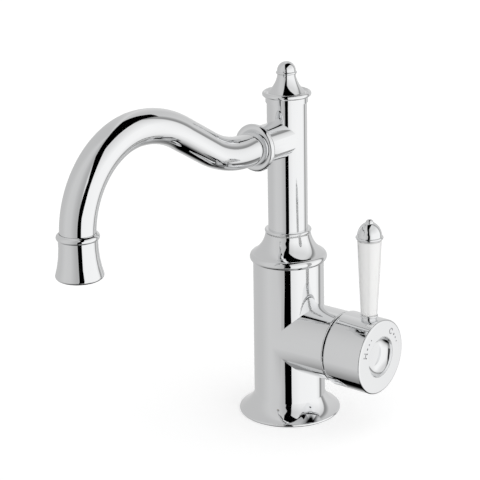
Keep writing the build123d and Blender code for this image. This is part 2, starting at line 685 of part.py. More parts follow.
# Column cap: plug, skirt, half-round ring and dished top
plug_r = PLUG_R - THREAD_FIT
with BuildPart() as column_cap:
    with BuildSketch(COLUMN_SECTION):
        with BuildLine():
            ring_mid_r = CAP_RING_R - CAP_RING_THICK_R
            ring_arc = ThreePointArc(
                (ring_mid_r, CAP_RING_Z - CAP_RING_THICK_R),
                (CAP_RING_R, CAP_RING_Z),
                (ring_mid_r, CAP_RING_Z + CAP_RING_THICK_R),
            )
            Polyline(
                ring_arc @ 1,
                (ring_mid_r - DISH_RIM, DISH_Z + FACE_GAP),
                (DISH_R, DISH_Z),
                (0, DISH_Z),
                (0, PLUG_Z + PLUG_GAP),
                (plug_r, PLUG_Z + PLUG_GAP),
                (plug_r, COLUMN_TOP_Z),
                (SKIRT_R, COLUMN_TOP_Z),
                (SKIRT_R, CAP_RING_Z - CAP_RING_THICK_R),
                ring_arc @ 0,
            )
        make_face()
    revolve(axis=Axis.Z)
    with BuildSketch(Plane.XY.offset(PLUG_SEAL_Z)):
        Circle(PLUG_R + GROOVE_CLEAR)
        Circle(PLUG_SEAL_FLOOR_R, mode=Mode.SUBTRACT)
    extrude(amount=PLUG_SEAL_T, mode=Mode.SUBTRACT)
    with BuildSketch(Plane.XY.offset(STUD_FOOT_Z)):
        Circle(STUD_R + THREAD_FIT)
    extrude(amount=DISH_Z - STUD_FOOT_Z, mode=Mode.SUBTRACT)
column_cap.part.label = "column_cap"
export_step(column_cap.part, "parts/column_cap.step")

with BuildPart() as column_cap_seal:
    with BuildSketch(COLUMN_SECTION):
        with BuildLine():
            tube_outline(PLUG_SEAL_FLOOR_R, PLUG_R, PLUG_SEAL_Z, PLUG_SEAL_Z + PLUG_SEAL_T)
        make_face()
    revolve(axis=Axis.Z)
column_cap_seal.part.label = "column_cap_seal"
export_step(column_cap_seal.part, "parts/column_cap_seal.step")

# Finial flare
with BuildPart() as finial_flare:
    with BuildSketch(COLUMN_SECTION):
        with BuildLine():
            spread_h = FLARE_H - FLARE_FOOT_H - FLARE_NECK_H
            spread = ThreePointArc(
                (FLARE_R, DISH_Z + FLARE_FOOT_H),
                (
                    FLARE_NECK_R + (FLARE_R - FLARE_NECK_R) * FLARE_SWEEP[0],
                    DISH_Z + FLARE_FOOT_H + spread_h * FLARE_SWEEP[1],
                ),
                (FLARE_NECK_R, DISH_Z + FLARE_FOOT_H + spread_h),
            )
            Polyline(
                spread @ 1,
                (FLARE_NECK_R, FLARE_TOP_Z),
                (STUD_R + THREAD_FIT, FLARE_TOP_Z),
                (STUD_R + THREAD_FIT, DISH_Z),
                (FLARE_R, DISH_Z),
                spread @ 0,
            )
        make_face()
    revolve(axis=Axis.Z)
finial_flare.part.label = "finial_flare"
export_step(finial_flare.part, "parts/finial_flare.step")

# Finial dome with its bead
with BuildPart() as finial_dome:
    with BuildSketch(COLUMN_SECTION):
        with BuildLine():
            ridge = ThreePointArc(
                (DOME_BASE_R, FINIAL_BEAD_Z - FINIAL_BEAD_THICK_R),
                (FINIAL_BEAD_R, FINIAL_BEAD_Z),
                (DOME_BASE_R, FINIAL_BEAD_Z + FINIAL_BEAD_THICK_R),
            )
            crown = CenterArc((0, FINIAL_TOP_Z - DOME_BASE_R), DOME_BASE_R, start_angle=0, arc_size=90)
            Line(ridge @ 1, crown @ 0)
            Polyline(
                crown @ 1,
                (0, FLARE_TOP_Z),
                (DOME_BASE_R, FLARE_TOP_Z),
                ridge @ 0,
            )
        make_face()
    revolve(axis=Axis.Z)
    with BuildSketch(Plane.XY.offset(FLARE_TOP_Z)):
        Circle(STUD_R + THREAD_FIT)
    extrude(amount=STUD_TOP_Z - FLARE_TOP_Z, mode=Mode.SUBTRACT)
finial_dome.part.label = "finial_dome"
export_step(finial_dome.part, "parts/finial_dome.step")

with BuildPart() as finial_stud:
    with BuildSketch(Plane.XY.offset(STUD_FOOT_Z)):
        Circle(STUD_R)
    extrude(amount=STUD_TOP_Z - STUD_FOOT_Z)
finial_stud.part.label = "finial_stud"
export_step(finial_stud.part, "parts/finial_stud.step")

# Cartridge base with its three ports
with BuildPart() as cartridge_base:
    with BuildSketch(face_plane(SEAT_X + BASE_GAP)):
        Circle(CARTRIDGE_R)
    extrude(amount=BASE_FLANGE_T)
    with BuildSketch(face_plane(shell_back_x)):
        Circle(shell_bore_r)
    extrude(amount=BASE_T - BASE_FLANGE_T)
    with BuildSketch(face_plane(SEAT_X + BASE_GAP)):
        with Locations(*inlet_ports, outlet_port):
            Circle(PORT_R)
    extrude(amount=BASE_T, mode=Mode.SUBTRACT)
    with BuildSketch(face_plane(SEAT_X + BASE_GAP)):
        with Locations(*inlet_ports, outlet_port):
            Circle(PORT_R + SEAL_WALL)
    extrude(amount=SEAL_SINK, mode=Mode.SUBTRACT)
cartridge_base.part.label = "cartridge_base"
export_step(cartridge_base.part, "parts/cartridge_base.step")

# Port seals between the base and the seat
with BuildPart() as cartridge_seals:
    with BuildSketch(face_plane(SEAT_X)):
        with Locations(*inlet_ports, outlet_port):
            Circle(PORT_R + SEAL_WALL)
            Circle(PORT_R, mode=Mode.SUBTRACT)
    extrude(amount=BASE_GAP + SEAL_SINK)
cartridge_seals.part.label = "cartridge_seals"
export_step(cartridge_seals.part, "parts/cartridge_seals.step")

# Cartridge shell, a cup with a front lip
with BuildPart() as cartridge_shell:
    with BuildSketch(BOSS_SECTION):
        with BuildLine():
            Polyline(
                (shell_back_x, shell_bore_r),
                (NUT_BACK_X - SHELL_LIP_T, shell_bore_r),
                (NUT_BACK_X - SHELL_LIP_T, ROTOR_NECK_R + LIP_FIT),
                (NUT_BACK_X, ROTOR_NECK_R + LIP_FIT),
                (NUT_BACK_X, CARTRIDGE_R),
                (shell_back_x, CARTRIDGE_R),
                close=True,
            )
        make_face()
    revolve(axis=BOSS_AXIS)
cartridge_shell.part.label = "cartridge_shell"
export_step(cartridge_shell.part, "parts/cartridge_shell.step")

# Ceramic discs: the fixed one has the ports, the moving one a mixing hollow
with BuildPart() as fixed_disc:
    with BuildSketch(face_plane(base_front_x)):
        Circle(FIXED_DISC_R)
        with Locations(*inlet_ports, outlet_port):
            Circle(PORT_R, mode=Mode.SUBTRACT)
    extrude(amount=DISC_T)
fixed_disc.part.label = "fixed_disc"
export_step(fixed_disc.part, "parts/fixed_disc.step")

with BuildPart() as moving_disc:
    with BuildSketch(face_plane(moving_disc_x)):
        Circle(MOVING_DISC_R)
    extrude(amount=DISC_T)
    with BuildSketch(face_plane(moving_disc_x)):
        with Locations((0, PORT_RISE - PORT_R - MIX_LAP - MIX_H / 2)):
            Rectangle(MIX_W, MIX_H)
        with Locations(outlet_port):
            Circle(PORT_R)
    extrude(amount=MIX_DEPTH, mode=Mode.SUBTRACT)
moving_disc.part.label = "moving_disc"
export_step(moving_disc.part, "parts/moving_disc.step")

# Carrier, moved by the spindle's ball
with BuildPart() as disc_carrier:
    with BuildSketch(face_plane(carrier_x)):
        Circle(MOVING_DISC_R)
    extrude(amount=CARRIER_T)
    with BuildSketch(face_plane(carrier_front_x)):
        Circle(TAIL_BALL_R + TAIL_FIT)
    extrude(amount=TAIL_X - TAIL_BALL_R - TAIL_FIT - carrier_front_x, mode=Mode.SUBTRACT)
disc_carrier.part.label = "disc_carrier"
export_step(disc_carrier.part, "parts/disc_carrier.step")

# Rotor, slotted for the spindle
with BuildPart() as cartridge_rotor:
    with BuildSketch(face_plane(rotor_back_x)):
        Circle(shell_bore_r - RUN)
    extrude(amount=rotor_front_x - rotor_back_x)
    with BuildSketch(face_plane(rotor_front_x)):
        Circle(ROTOR_NECK_R)
    extrude(amount=ROTOR_NECK_L)
    with BuildSketch(face_plane(rotor_back_x)):
        with Locations((0, (SLOT_UP - SLOT_DOWN) / 2)):
            Rectangle(2 * (SPINDLE_R + RUN), SLOT_UP + SLOT_DOWN)
    extrude(amount=rotor_front_x + ROTOR_NECK_L - rotor_back_x, mode=Mode.SUBTRACT)
    with BuildSketch(Plane.XZ.offset(-CARTRIDGE_R)):
        with Locations((PIVOT_X, BOSS_Z)):
            Circle(PIN_R)
    extrude(amount=2 * CARTRIDGE_R, mode=Mode.SUBTRACT)
cartridge_rotor.part.label = "cartridge_rotor"
export_step(cartridge_rotor.part, "parts/cartridge_rotor.step")

with BuildPart() as spindle_pin:
    with BuildSketch(Plane.XZ.offset(-PIN_HALF)):
        with Locations((PIVOT_X, BOSS_Z)):
            Circle(PIN_R)
    extrude(amount=2 * PIN_HALF)
spindle_pin.part.label = "spindle_pin"
export_step(spindle_pin.part, "parts/spindle_pin.step")

# Spindle with its tail ball and pin hole
with BuildPart() as spindle:
    with BuildSketch(face_plane(SPINDLE_BACK_X)):
        Circle(SPINDLE_R)
    extrude(amount=SPINDLE_END_X - SPINDLE_BACK_X)
    with BuildSketch(face_plane(TAIL_X)):
        Circle(TAIL_NECK_R)
    extrude(amount=PIVOT_X - TAIL_X)
    with BuildSketch(BOSS_SECTION):
        with BuildLine():
            ball_side = ThreePointArc(
                (TAIL_X - TAIL_BALL_R, 0),
                (TAIL_X, TAIL_BALL_R),
                (TAIL_X + TAIL_BALL_R, 0),
            )
            Line(ball_side @ 1, ball_side @ 0)
        make_face()
    revolve(axis=BOSS_AXIS)
    with BuildSketch(Plane.XZ.offset(-PIN_HALF)):
        with Locations((PIVOT_X, BOSS_Z)):
            Circle(PIN_R + RUN)
    extrude(amount=2 * PIN_HALF, mode=Mode.SUBTRACT)
spindle.part.label = "spindle"
export_step(spindle.part, "parts/spindle.step")

# Nut that clamps the cartridge, with four key notches
with BuildPart() as cartridge_nut:
    with BuildSketch(face_plane(NUT_BACK_X)):
        Circle(NUT_R - THREAD_FIT)
        Circle(NUT_BORE_R, mode=Mode.SUBTRACT)
    extrude(amount=nut_front_x - NUT_BACK_X)
    with BuildSketch(face_plane(nut_front_x)):
        with PolarLocations(NUT_R, 4, start_angle=45):
            Rectangle(2 * NOTCH_DEPTH, NOTCH_W)
    extrude(amount=-NOTCH_L, mode=Mode.SUBTRACT)
cartridge_nut.part.label = "cartridge_nut"
export_step(cartridge_nut.part, "parts/cartridge_nut.step")

# Dome cover over the nut
with BuildPart() as dome_cover:
    with BuildSketch(BOSS_SECTION):
        with BuildLine():
            dome_arc = ThreePointArc(
                (nut_front_x, DOME_R),
                (nut_front_x + DOME_T * DOME_MID[0], DOME_R - DOME_MID[1]),
                (nut_front_x + DOME_T, DOME_BORE_R + DOME_LIP),
            )
            Polyline(
                dome_arc @ 1,
                (nut_front_x + DOME_T, DOME_BORE_R),
                (nut_front_x, DOME_BORE_R),
                dome_arc @ 0,
            )
        make_face()
    revolve(axis=BOSS_AXIS)
dome_cover.part.label = "dome_cover"
export_step(dome_cover.part, "parts/dome_cover.step")

# Handle cap: shell, hub, recessed face, engraved marks, lever seat and grub screw holes
with BuildPart() as handle_cap:
    with BuildSketch(face_plane(cap_back_x)):
        Circle(CAP_R)
    extrude(amount=CAP_FRONT_X - cap_back_x)
    fillet(handle_cap.faces().sort_by(Axis.X)[0].edges(), CAP_REAR_ROUND)
    fillet(handle_cap.faces().sort_by(Axis.X)[-1].edges(), CAP_FRONT_ROUND)
    with BuildSketch(face_plane(cap_back_x)):
        Circle(CAP_BORE_R)
    extrude(amount=CAVITY_X - cap_back_x, mode=Mode.SUBTRACT)
    with BuildSketch(face_plane(HUB_BACK_X)):
        Circle(HUB_R)
    extrude(amount=CAVITY_X - HUB_BACK_X)
    with BuildSketch(face_plane(CAP_FRONT_X)):
        Circle(RECESS_R)
    extrude(amount=-RECESS_DEPTH, mode=Mode.SUBTRACT)
    with BuildSketch(face_plane(HUB_BACK_X)):
        Circle(SPINDLE_R + RUN)
    extrude(amount=SPINDLE_END_X + FACE_GAP - HUB_BACK_X, mode=Mode.SUBTRACT)
    with BuildSketch(Plane.XY.offset(BOSS_Z + LEVER_STUD_FOOT)):
        with Locations((LEVER_X, 0)):
            Circle(LEVER_STUD_R + THREAD_FIT)
    extrude(amount=CAP_R, mode=Mode.SUBTRACT)
    with BuildSketch(Plane.XY.offset(NECK_SEAT_Z)):
        with Locations((LEVER_X, 0)):
            Circle(NECK_R)
    extrude(amount=CAP_R, mode=Mode.SUBTRACT)
    with BuildSketch(Plane.XY.offset(BOSS_Z - SPINDLE_R)):
        with Locations((GRUB_X, 0)):
            Circle(GRUB_R + THREAD_FIT)
    extrude(amount=-HUB_R, mode=Mode.SUBTRACT)
    with BuildSketch(Plane.XY.offset(BOSS_Z - (HUB_R + CAP_BORE_R) / 2)):
        with Locations((GRUB_X, 0)):
            Circle(GRUB_ACCESS_R)
    extrude(amount=-CAP_R, mode=Mode.SUBTRACT)
    with BuildSketch(face_plane(CAP_FRONT_X)):
        with Locations(mark_place(COLD_ANGLE, COLD_ANGLE - 90)):
            Circle(MARK_H / 2)
            Circle(MARK_H / 2 - MARK_STROKE, mode=Mode.SUBTRACT)
            with Locations((MARK_H / 2, 0)):
                Rectangle(COLD_GAP_L, COLD_GAP_W, mode=Mode.SUBTRACT)
    extrude(amount=-MARK_DEPTH, mode=Mode.SUBTRACT)
    with BuildSketch(face_plane(CAP_FRONT_X)):
        with Locations(mark_place(HOT_ANGLE, HOT_ANGLE - 90)):
            with Locations((-HOT_STEM_X, 0), (HOT_STEM_X, 0)):
                Rectangle(MARK_STROKE, MARK_H)
            Rectangle(2 * HOT_STEM_X, MARK_STROKE)
    extrude(amount=-MARK_DEPTH, mode=Mode.SUBTRACT)
    for index, dot_r in enumerate(MARK_DOT_R):
        dot_turn = MARK_DOT_STEP * (index + MARK_DOT_START)
        for dot_angle in (COLD_ANGLE - dot_turn, HOT_ANGLE - dot_turn):
            with BuildSketch(face_plane(CAP_FRONT_X)):
                with Locations(mark_place(dot_angle, 0)):
                    Circle(dot_r)
            extrude(amount=-MARK_DEPTH, mode=Mode.SUBTRACT)
handle_cap.part.label = "handle_cap"
export_step(handle_cap.part, "parts/handle_cap.step")

# Index disc on the recess floor, slightly domed
index_r = RECESS_R - RUN
index_edge_x = recess_floor_x + INDEX_T
with BuildPart() as index_disc:
    with BuildSketch(BOSS_SECTION):
        with BuildLine():
            index_face = ThreePointArc(
                (index_edge_x, index_r),
                (index_edge_x + INDEX_RISE * 0.75, index_r / 2),
                (index_edge_x + INDEX_RISE, INDEX_FLAT_R),
            )
            Polyline(
                index_face @ 1,
                (index_edge_x + INDEX_RISE, 0),
                (recess_floor_x, 0),
                (recess_floor_x, index_r),
                index_face @ 0,
            )
        make_face()
    revolve(axis=BOSS_AXIS)
index_disc.part.label = "index_disc"
export_step(index_disc.part, "parts/index_disc.step")

# Grub screw against the spindle
with BuildPart() as grub_screw:
    with BuildSketch(Plane.XY.offset(BOSS_Z - SPINDLE_R)):
        with Locations((GRUB_X, 0)):
            Circle(GRUB_R)
    extrude(amount=-GRUB_L)
    with BuildSketch(Plane.XY.offset(BOSS_Z - SPINDLE_R - GRUB_L)):
        with Locations((GRUB_X, 0)):
            RegularPolygon(GRUB_HEX / 2, 6, major_radius=False)
    extrude(amount=GRUB_L / 2, mode=Mode.SUBTRACT)
grub_screw.part.label = "grub_screw"
export_step(grub_screw.part, "parts/grub_screw.step")

# Lever stud, through the neck, washers and sleeve into the tip
with BuildPart() as lever_stud:
    with BuildSketch(Plane.XY.offset(BOSS_Z + LEVER_STUD_FOOT)):
        with Locations((LEVER_X, 0)):
            Circle(LEVER_STUD_R)
    extrude(amount=LEVER_STUD_TOP_Z - BOSS_Z - LEVER_STUD_FOOT)
lever_stud.part.label = "lever_stud"
export_step(lever_stud.part, "parts/lever_stud.step")

# Lever neck and its bead
with BuildPart() as lever_neck:
    with BuildSketch(LEVER_SECTION):
        with BuildLine():
            neck_bead_low_z = 2 * NECK_BEAD_Z - NECK_TOP_Z
            neck_bead = ThreePointArc(
                (NECK_R, neck_bead_low_z),
                (NECK_BEAD_R, NECK_BEAD_Z),
                (NECK_R, NECK_TOP_Z),
            )
            Polyline(
                neck_bead @ 1,
                (LEVER_STUD_R + THREAD_FIT, NECK_TOP_Z),
                (LEVER_STUD_R + THREAD_FIT, NECK_SEAT_Z),
                (NECK_R, NECK_SEAT_Z),
                neck_bead @ 0,
            )
        make_face()
    revolve(axis=LEVER_AXIS)
lever_neck.part.label = "lever_neck"
export_step(lever_neck.part, "parts/lever_neck.step")

# Washers at both ends of the sleeve
with BuildPart() as lower_washer:
    with BuildSketch(LEVER_SECTION):
        with BuildLine():
            tube_outline(SLEEVE_BORE_R, LOW_WASHER_R, NECK_TOP_Z, sleeve_foot_z)
        make_face()
    revolve(axis=LEVER_AXIS)
lower_washer.part.label = "lower_washer"
export_step(lower_washer.part, "parts/lower_washer.step")

with BuildPart() as upper_washer:
    with BuildSketch(LEVER_SECTION):
        with BuildLine():
            tube_outline(SLEEVE_BORE_R, TOP_WASHER_R, SLEEVE_TOP_Z, TIP_FOOT_Z)
        make_face()
    revolve(axis=LEVER_AXIS)
upper_washer.part.label = "upper_washer"
export_step(upper_washer.part, "parts/upper_washer.step")

# Porcelain sleeve, slightly fuller than a plain cone
with BuildPart() as porcelain_sleeve:
    with BuildSketch(LEVER_SECTION):
        with BuildLine():
            side = ThreePointArc(
                (SLEEVE_LOW_R, sleeve_foot_z),
                ((SLEEVE_LOW_R + SLEEVE_TOP_R) / 2 + SLEEVE_FULLNESS, sleeve_foot_z + SLEEVE_L / 2),
                (SLEEVE_TOP_R, SLEEVE_TOP_Z),
            )
            Polyline(side @ 1, (SLEEVE_BORE_R, SLEEVE_TOP_Z), (SLEEVE_BORE_R, sleeve_foot_z), side @ 0)
        make_face()
    revolve(axis=LEVER_AXIS)
porcelain_sleeve.part.label = "porcelain_sleeve"
export_step(porcelain_sleeve.part, "parts/porcelain_sleeve.step")

# Lever tip: rim, bead, dome and small ball
with BuildPart() as lever_tip:
    with BuildSketch(LEVER_SECTION):
        with BuildLine():
            tip_bead = ThreePointArc(
                (TIP_DOME_R, TIP_BEAD_Z - TIP_BEAD_THICK_R),
                (TIP_BEAD_R, TIP_BEAD_Z),
                (TIP_DOME_R, TIP_BEAD_Z + TIP_BEAD_THICK_R),
            )
            tip_dome = ThreePointArc(
                tip_bead @ 1,
                (TIP_DOME_MID_R, TIP_DOME_MID_Z),
                (TIP_DOME_END_R, TIP_DOME_END_Z),
            )
            Polyline(
                tip_dome @ 1,
                (0, TIP_DOME_END_Z),
                (0, LEVER_STUD_TOP_Z),
                (LEVER_STUD_R + THREAD_FIT, LEVER_STUD_TOP_Z),
                (LEVER_STUD_R + THREAD_FIT, TIP_FOOT_Z),
                (TIP_RIM_R, TIP_FOOT_Z),
                (TIP_RIM_R, TIP_BEAD_Z - TIP_BEAD_THICK_R),
                tip_bead @ 0,
            )
        make_face()
    revolve(axis=LEVER_AXIS)
    with Locations((LEVER_X, 0, TIP_TOP_Z - TIP_BALL_R)):
        Sphere(TIP_BALL_R)
lever_tip.part.label = "lever_tip"
export_step(lever_tip.part, "parts/lever_tip.step")
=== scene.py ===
"""Looks of a gooseneck basin mixer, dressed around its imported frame.

Blender works in metres. The sizes below are in millimetres, as a maker would write them: radii and
heights along the axis that a piece is turned about, from the deck up unless a comment says otherwise.
"""
import json
import logging
from collections.abc import Sequence
from dataclasses import dataclass
from enum import Enum
from math import atan2, ceil, cos, degrees, hypot, pi, radians, sin, sqrt
from typing import Union

import bpy
from mathutils import Matrix, Vector


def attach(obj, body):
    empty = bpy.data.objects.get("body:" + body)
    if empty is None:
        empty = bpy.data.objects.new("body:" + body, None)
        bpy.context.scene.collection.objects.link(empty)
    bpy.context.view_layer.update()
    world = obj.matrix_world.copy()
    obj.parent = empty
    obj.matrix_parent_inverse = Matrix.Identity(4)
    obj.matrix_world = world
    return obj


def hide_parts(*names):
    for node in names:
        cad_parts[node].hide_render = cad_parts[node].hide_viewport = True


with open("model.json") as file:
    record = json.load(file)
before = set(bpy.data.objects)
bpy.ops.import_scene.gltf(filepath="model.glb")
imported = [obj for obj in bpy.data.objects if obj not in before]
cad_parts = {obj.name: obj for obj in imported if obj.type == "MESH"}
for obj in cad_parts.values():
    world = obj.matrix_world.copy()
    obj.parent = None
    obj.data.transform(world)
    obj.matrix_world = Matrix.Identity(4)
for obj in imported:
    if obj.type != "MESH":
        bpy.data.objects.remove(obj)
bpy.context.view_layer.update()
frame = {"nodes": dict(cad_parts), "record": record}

LOG = logging.getLogger("mixer")

MM = 0.001
CAP_FACETS = 256
FACETS = 160
SMALL_FACETS = 96
DOT_FACETS = 48
ARC_STEP = 5.0
BEND_STEP = 1.5
SHARP_ANGLE = 34.0
EDGE_STEPS = 3
WELD = 1e-6
AREA_WEIGHT = 100
OVERCUT = 1.0
PATCH_DETAIL = 3.0
MIX_INPUTS = (0, 6, 7)
MIX_RESULT = 2

Point = tuple[float, float]
Place = tuple[float, float, float]
Colour = tuple[float, float, float]


class Toward(Enum):
    """Direction that a turned piece's axis takes, from its first ring to its last."""

    UP = Matrix.Identity(4)
    BOSS = Matrix.Rotation(radians(90), 4, "Y")
    SPOUT = Matrix.Rotation(radians(90), 4, "X")


@dataclass(frozen=True)
class Arc:
    """A round stretch of an outline, from the point before it, through a point, to its end.

    Args:
        through: A point on the arc, radius and height in millimetres.
        end: Where the arc ends, radius and height in millimetres.
    """

    through: Point
    end: Point

    def points(self, start: Point) -> list[Point]:
        """Works out the points along the arc.

        Args:
            start: Where the arc begins.

        Returns:
            The points after the start, a few degrees apart, with the end last.
        """
        centre = self.centre(start)
        radius = hypot(start[0] - centre[0], start[1] - centre[1])
        begin = atan2(start[1] - centre[1], start[0] - centre[0])
        middle = atan2(self.through[1] - centre[1], self.through[0] - centre[0])
        finish = atan2(self.end[1] - centre[1], self.end[0] - centre[0])
        sweep = (finish - begin) % (2 * pi)
        if (middle - begin) % (2 * pi) > sweep:
            sweep -= 2 * pi
        steps = max(2, ceil(abs(degrees(sweep)) / ARC_STEP))
        turned = [begin + sweep * step / steps for step in range(1, steps)]
        inner = [(centre[0] + radius * cos(turn), centre[1] + radius * sin(turn)) for turn in turned]
        return inner + [self.end]

    def centre(self, start: Point) -> Point:
        """Finds the centre of the circle through the start, the middle point and the end.

        Args:
            start: Where the arc begins.

        Returns:
            The centre, radius and height in millimetres.
        """
        (ax, ay), (bx, by), (cx, cy) = start, self.through, self.end
        twice = 2 * (ax * (by - cy) + bx * (cy - ay) + cx * (ay - by))
        a_sq, b_sq, c_sq = ax * ax + ay * ay, bx * bx + by * by, cx * cx + cy * cy
        x = (a_sq * (by - cy) + b_sq * (cy - ay) + c_sq * (ay - by)) / twice
        y = (a_sq * (cx - bx) + b_sq * (ax - cx) + c_sq * (bx - ax)) / twice
        return (x, y)


Outline = Sequence[Union[Point, Arc]]


def outline_points(outline: Outline) -> list[Point]:
    """Spreads an outline out into plain points.

    Args:
        outline: Corners and arcs, the first of them a corner.

    Returns:
        Every point of the outline in order.
    """
    points = [outline[0]]
    for stretch in outline[1:]:
        points += stretch.points(points[-1]) if isinstance(stretch, Arc) else [stretch]
    return points


def rod(*sizes: float) -> Outline:
    """Gives the outline of a stepped rod, from a height, a radius, a height and so on in turn."""
    heights, radii = sizes[::2], sizes[1::2]
    steps = [(radius, height) for step, radius in enumerate(radii) for height in heights[step:step + 2]]
    return [(0, heights[0]), *steps, (0, heights[-1])]


def tube(inner: float, outer: float, low: float, high: float) -> Outline:
    """Gives the outline of a plain tube between two heights."""
    return [(inner, low), (outer, low), (outer, high), (inner, high)]


def rounded_edge(radius: float, face: float, width: float) -> Outline:
    """Gives a rounded edge, from a piece's side to its upper face."""
    off = width * (1 - cos(radians(45)))
    return [(radius, face - width), Arc((radius - off, face - off), (radius - width, face))]


class Bench:
    """The few steps of handwork that every piece is made with."""

    @staticmethod
    def free() -> None:
        """Leaves edit mode and selects nothing."""
        if bpy.context.object and bpy.context.object.mode != "OBJECT":
            bpy.ops.object.mode_set(mode="OBJECT")
        bpy.ops.object.select_all(action="DESELECT")

    @staticmethod
    def pick(obj: bpy.types.Object) -> None:
        """Makes one object the only selected and active one.

        Args:
            obj: The object to work on.
        """
        Bench.free()
        obj.select_set(True)
        bpy.context.view_layer.objects.active = obj

    @staticmethod
    def turn(
        name: str, outline: Outline, toward: Toward = Toward.UP, facets: int = FACETS,
    ) -> bpy.types.Object:
        """Turns an outline into a closed piece, ring by ring from a circle.

        Args:
            name: The new object's name.
            outline: Radius and height of each corner and arc, in millimetres. It closes on itself
                at its first point, or at the axis where it starts and ends there.
            toward: Direction of the heights.
            facets: How many sides a ring has.

        Returns:
            The new object, its axis through the scene's origin.
        """
        points = outline_points(outline)
        closed_at_axis = points[0][0] == 0
        rings = points[1:-1] if closed_at_axis else points + points[:1]
        radius, height = rings[0]
        Bench.free()
        bpy.ops.mesh.primitive_circle_add(vertices=facets, radius=radius * MM, location=(0, 0, height * MM))
        obj = bpy.context.object
        obj.name = name
        bpy.ops.object.mode_set(mode="EDIT")
        bpy.ops.mesh.select_all(action="SELECT")
        if closed_at_axis:
            bpy.ops.mesh.duplicate()
            Bench.cap_end(points[0][1] - height)
            Bench.pick_loose_ring()
        for next_radius, next_height in rings[1:]:
            Bench.extrude((0, 0, next_height - height))
            scale = next_radius / radius
            bpy.ops.transform.resize(value=(scale, scale, 1), center_override=(0, 0, 0))
            radius, height = next_radius, next_height
        if closed_at_axis:
            Bench.cap_end(points[-1][1] - height)
        Bench.close_mesh()
        bpy.ops.object.mode_set(mode="OBJECT")
        bpy.ops.object.transform_apply()
        obj.data.transform(toward.value)
        return obj

    @staticmethod
    def extrude(offset: Place) -> None:
        """Extrudes what is selected by an offset in millimetres."""
        bpy.ops.mesh.extrude_region_move(TRANSFORM_OT_translate={"value": Vector(offset) * MM})

    @staticmethod
    def cap_end(rise: float) -> None:
        """Closes the selected ring with a fan whose pole is that far from the ring's plane."""
        Bench.extrude((0, 0, rise))
        bpy.ops.mesh.merge(type="CENTER")

    @staticmethod
    def pick_loose_ring() -> None:
        """Selects the ring of the mesh that has no faces on it."""
        bpy.ops.mesh.select_all(action="DESELECT")
        bpy.ops.mesh.select_non_manifold(
            extend=False, use_wire=True, use_boundary=False, use_multi_face=False,
            use_non_contiguous=False, use_verts=False,
        )

    @staticmethod
    def close_mesh() -> None:
        """Merges the doubles of the mesh in edit mode and points its faces outwards."""
        bpy.ops.mesh.select_all(action="SELECT")
        bpy.ops.mesh.remove_doubles(threshold=WELD)
        bpy.ops.mesh.normals_make_consistent(inside=False)

    @staticmethod
    def block(size: Place, centre: Place) -> bpy.types.Object:
        """Adds a block to cut or build with.

        Args:
            size: Its length along each axis, in millimetres.
            centre: Its centre, in millimetres.

        Returns:
            The new object, with its place in its mesh.
        """
        Bench.free()
        bpy.ops.mesh.primitive_cube_add(size=MM, location=Vector(centre) * MM, scale=size)
        bpy.ops.object.transform_apply()
        return bpy.context.object

    @staticmethod
    def shift(obj: bpy.types.Object, offset: Place) -> None:
        """Moves a mesh by an offset in millimetres, and leaves its object at the origin."""
        obj.data.transform(Matrix.Translation(Vector(offset) * MM))

    @staticmethod
    def combine(obj: bpy.types.Object, other: bpy.types.Object, operation: str) -> None:
        """Adds another solid to a piece, or cuts it out, and deletes that solid.

        Args:
            obj: The piece.
            other: The solid to add or to cut with.
            operation: UNION or DIFFERENCE.
        """
        modifier = obj.modifiers.new("joined", "BOOLEAN")
        modifier.operation = operation
        modifier.solver = "EXACT"
        modifier.object = other
        Bench.pick(obj)
        bpy.ops.object.modifier_apply(modifier=modifier.name)
        bpy.data.objects.remove(other, do_unlink=True)

    @staticmethod
    def carve(
        obj: bpy.types.Object, outline: Outline, place: Place,
        toward: Toward = Toward.UP, facets: int = FACETS, operation: str = "DIFFERENCE",
    ) -> None:
        """Turns another solid, and cuts it out of a piece or adds it.

        Args:
            obj: The piece.
            outline: The other solid's outline.
            place: Where its first ring's axis starts from, in millimetres.
            toward: Direction of its heights.
            facets: How many sides it has.
            operation: DIFFERENCE to cut it out, or UNION to add it.
        """
        other = Bench.turn("other", outline, toward, facets)
        Bench.shift(other, place)
        Bench.combine(obj, other, operation)

    @staticmethod
    def round_edges(obj: bpy.types.Object, width: float) -> None:
        """Breaks the piece's sharp edges, as a polisher does.

        Args:
            obj: The piece.
            width: Width of the rounded edges in millimetres.
        """
        bevel = obj.modifiers.new("edges", "BEVEL")
        bevel.width = width * MM
        bevel.segments = EDGE_STEPS
        bevel.limit_method = "ANGLE"
        bevel.angle_limit = radians(SHARP_ANGLE)
        Bench.pick(obj)
        bpy.ops.object.modifier_apply(modifier=bevel.name)

    @staticmethod
    def smooth(obj: bpy.types.Object) -> None:
        """Shades the piece as true curves between its sharp edges.

        Args:
            obj: The piece.
        """
        Bench.pick(obj)
        bpy.ops.object.shade_smooth_by_angle(angle=radians(SHARP_ANGLE))
        weighted = obj.modifiers.new("normals", "WEIGHTED_NORMAL")
        weighted.mode = "FACE_AREA"
        weighted.weight = AREA_WEIGHT
        weighted.keep_sharp = True
        bpy.ops.object.modifier_apply(modifier=weighted.name)


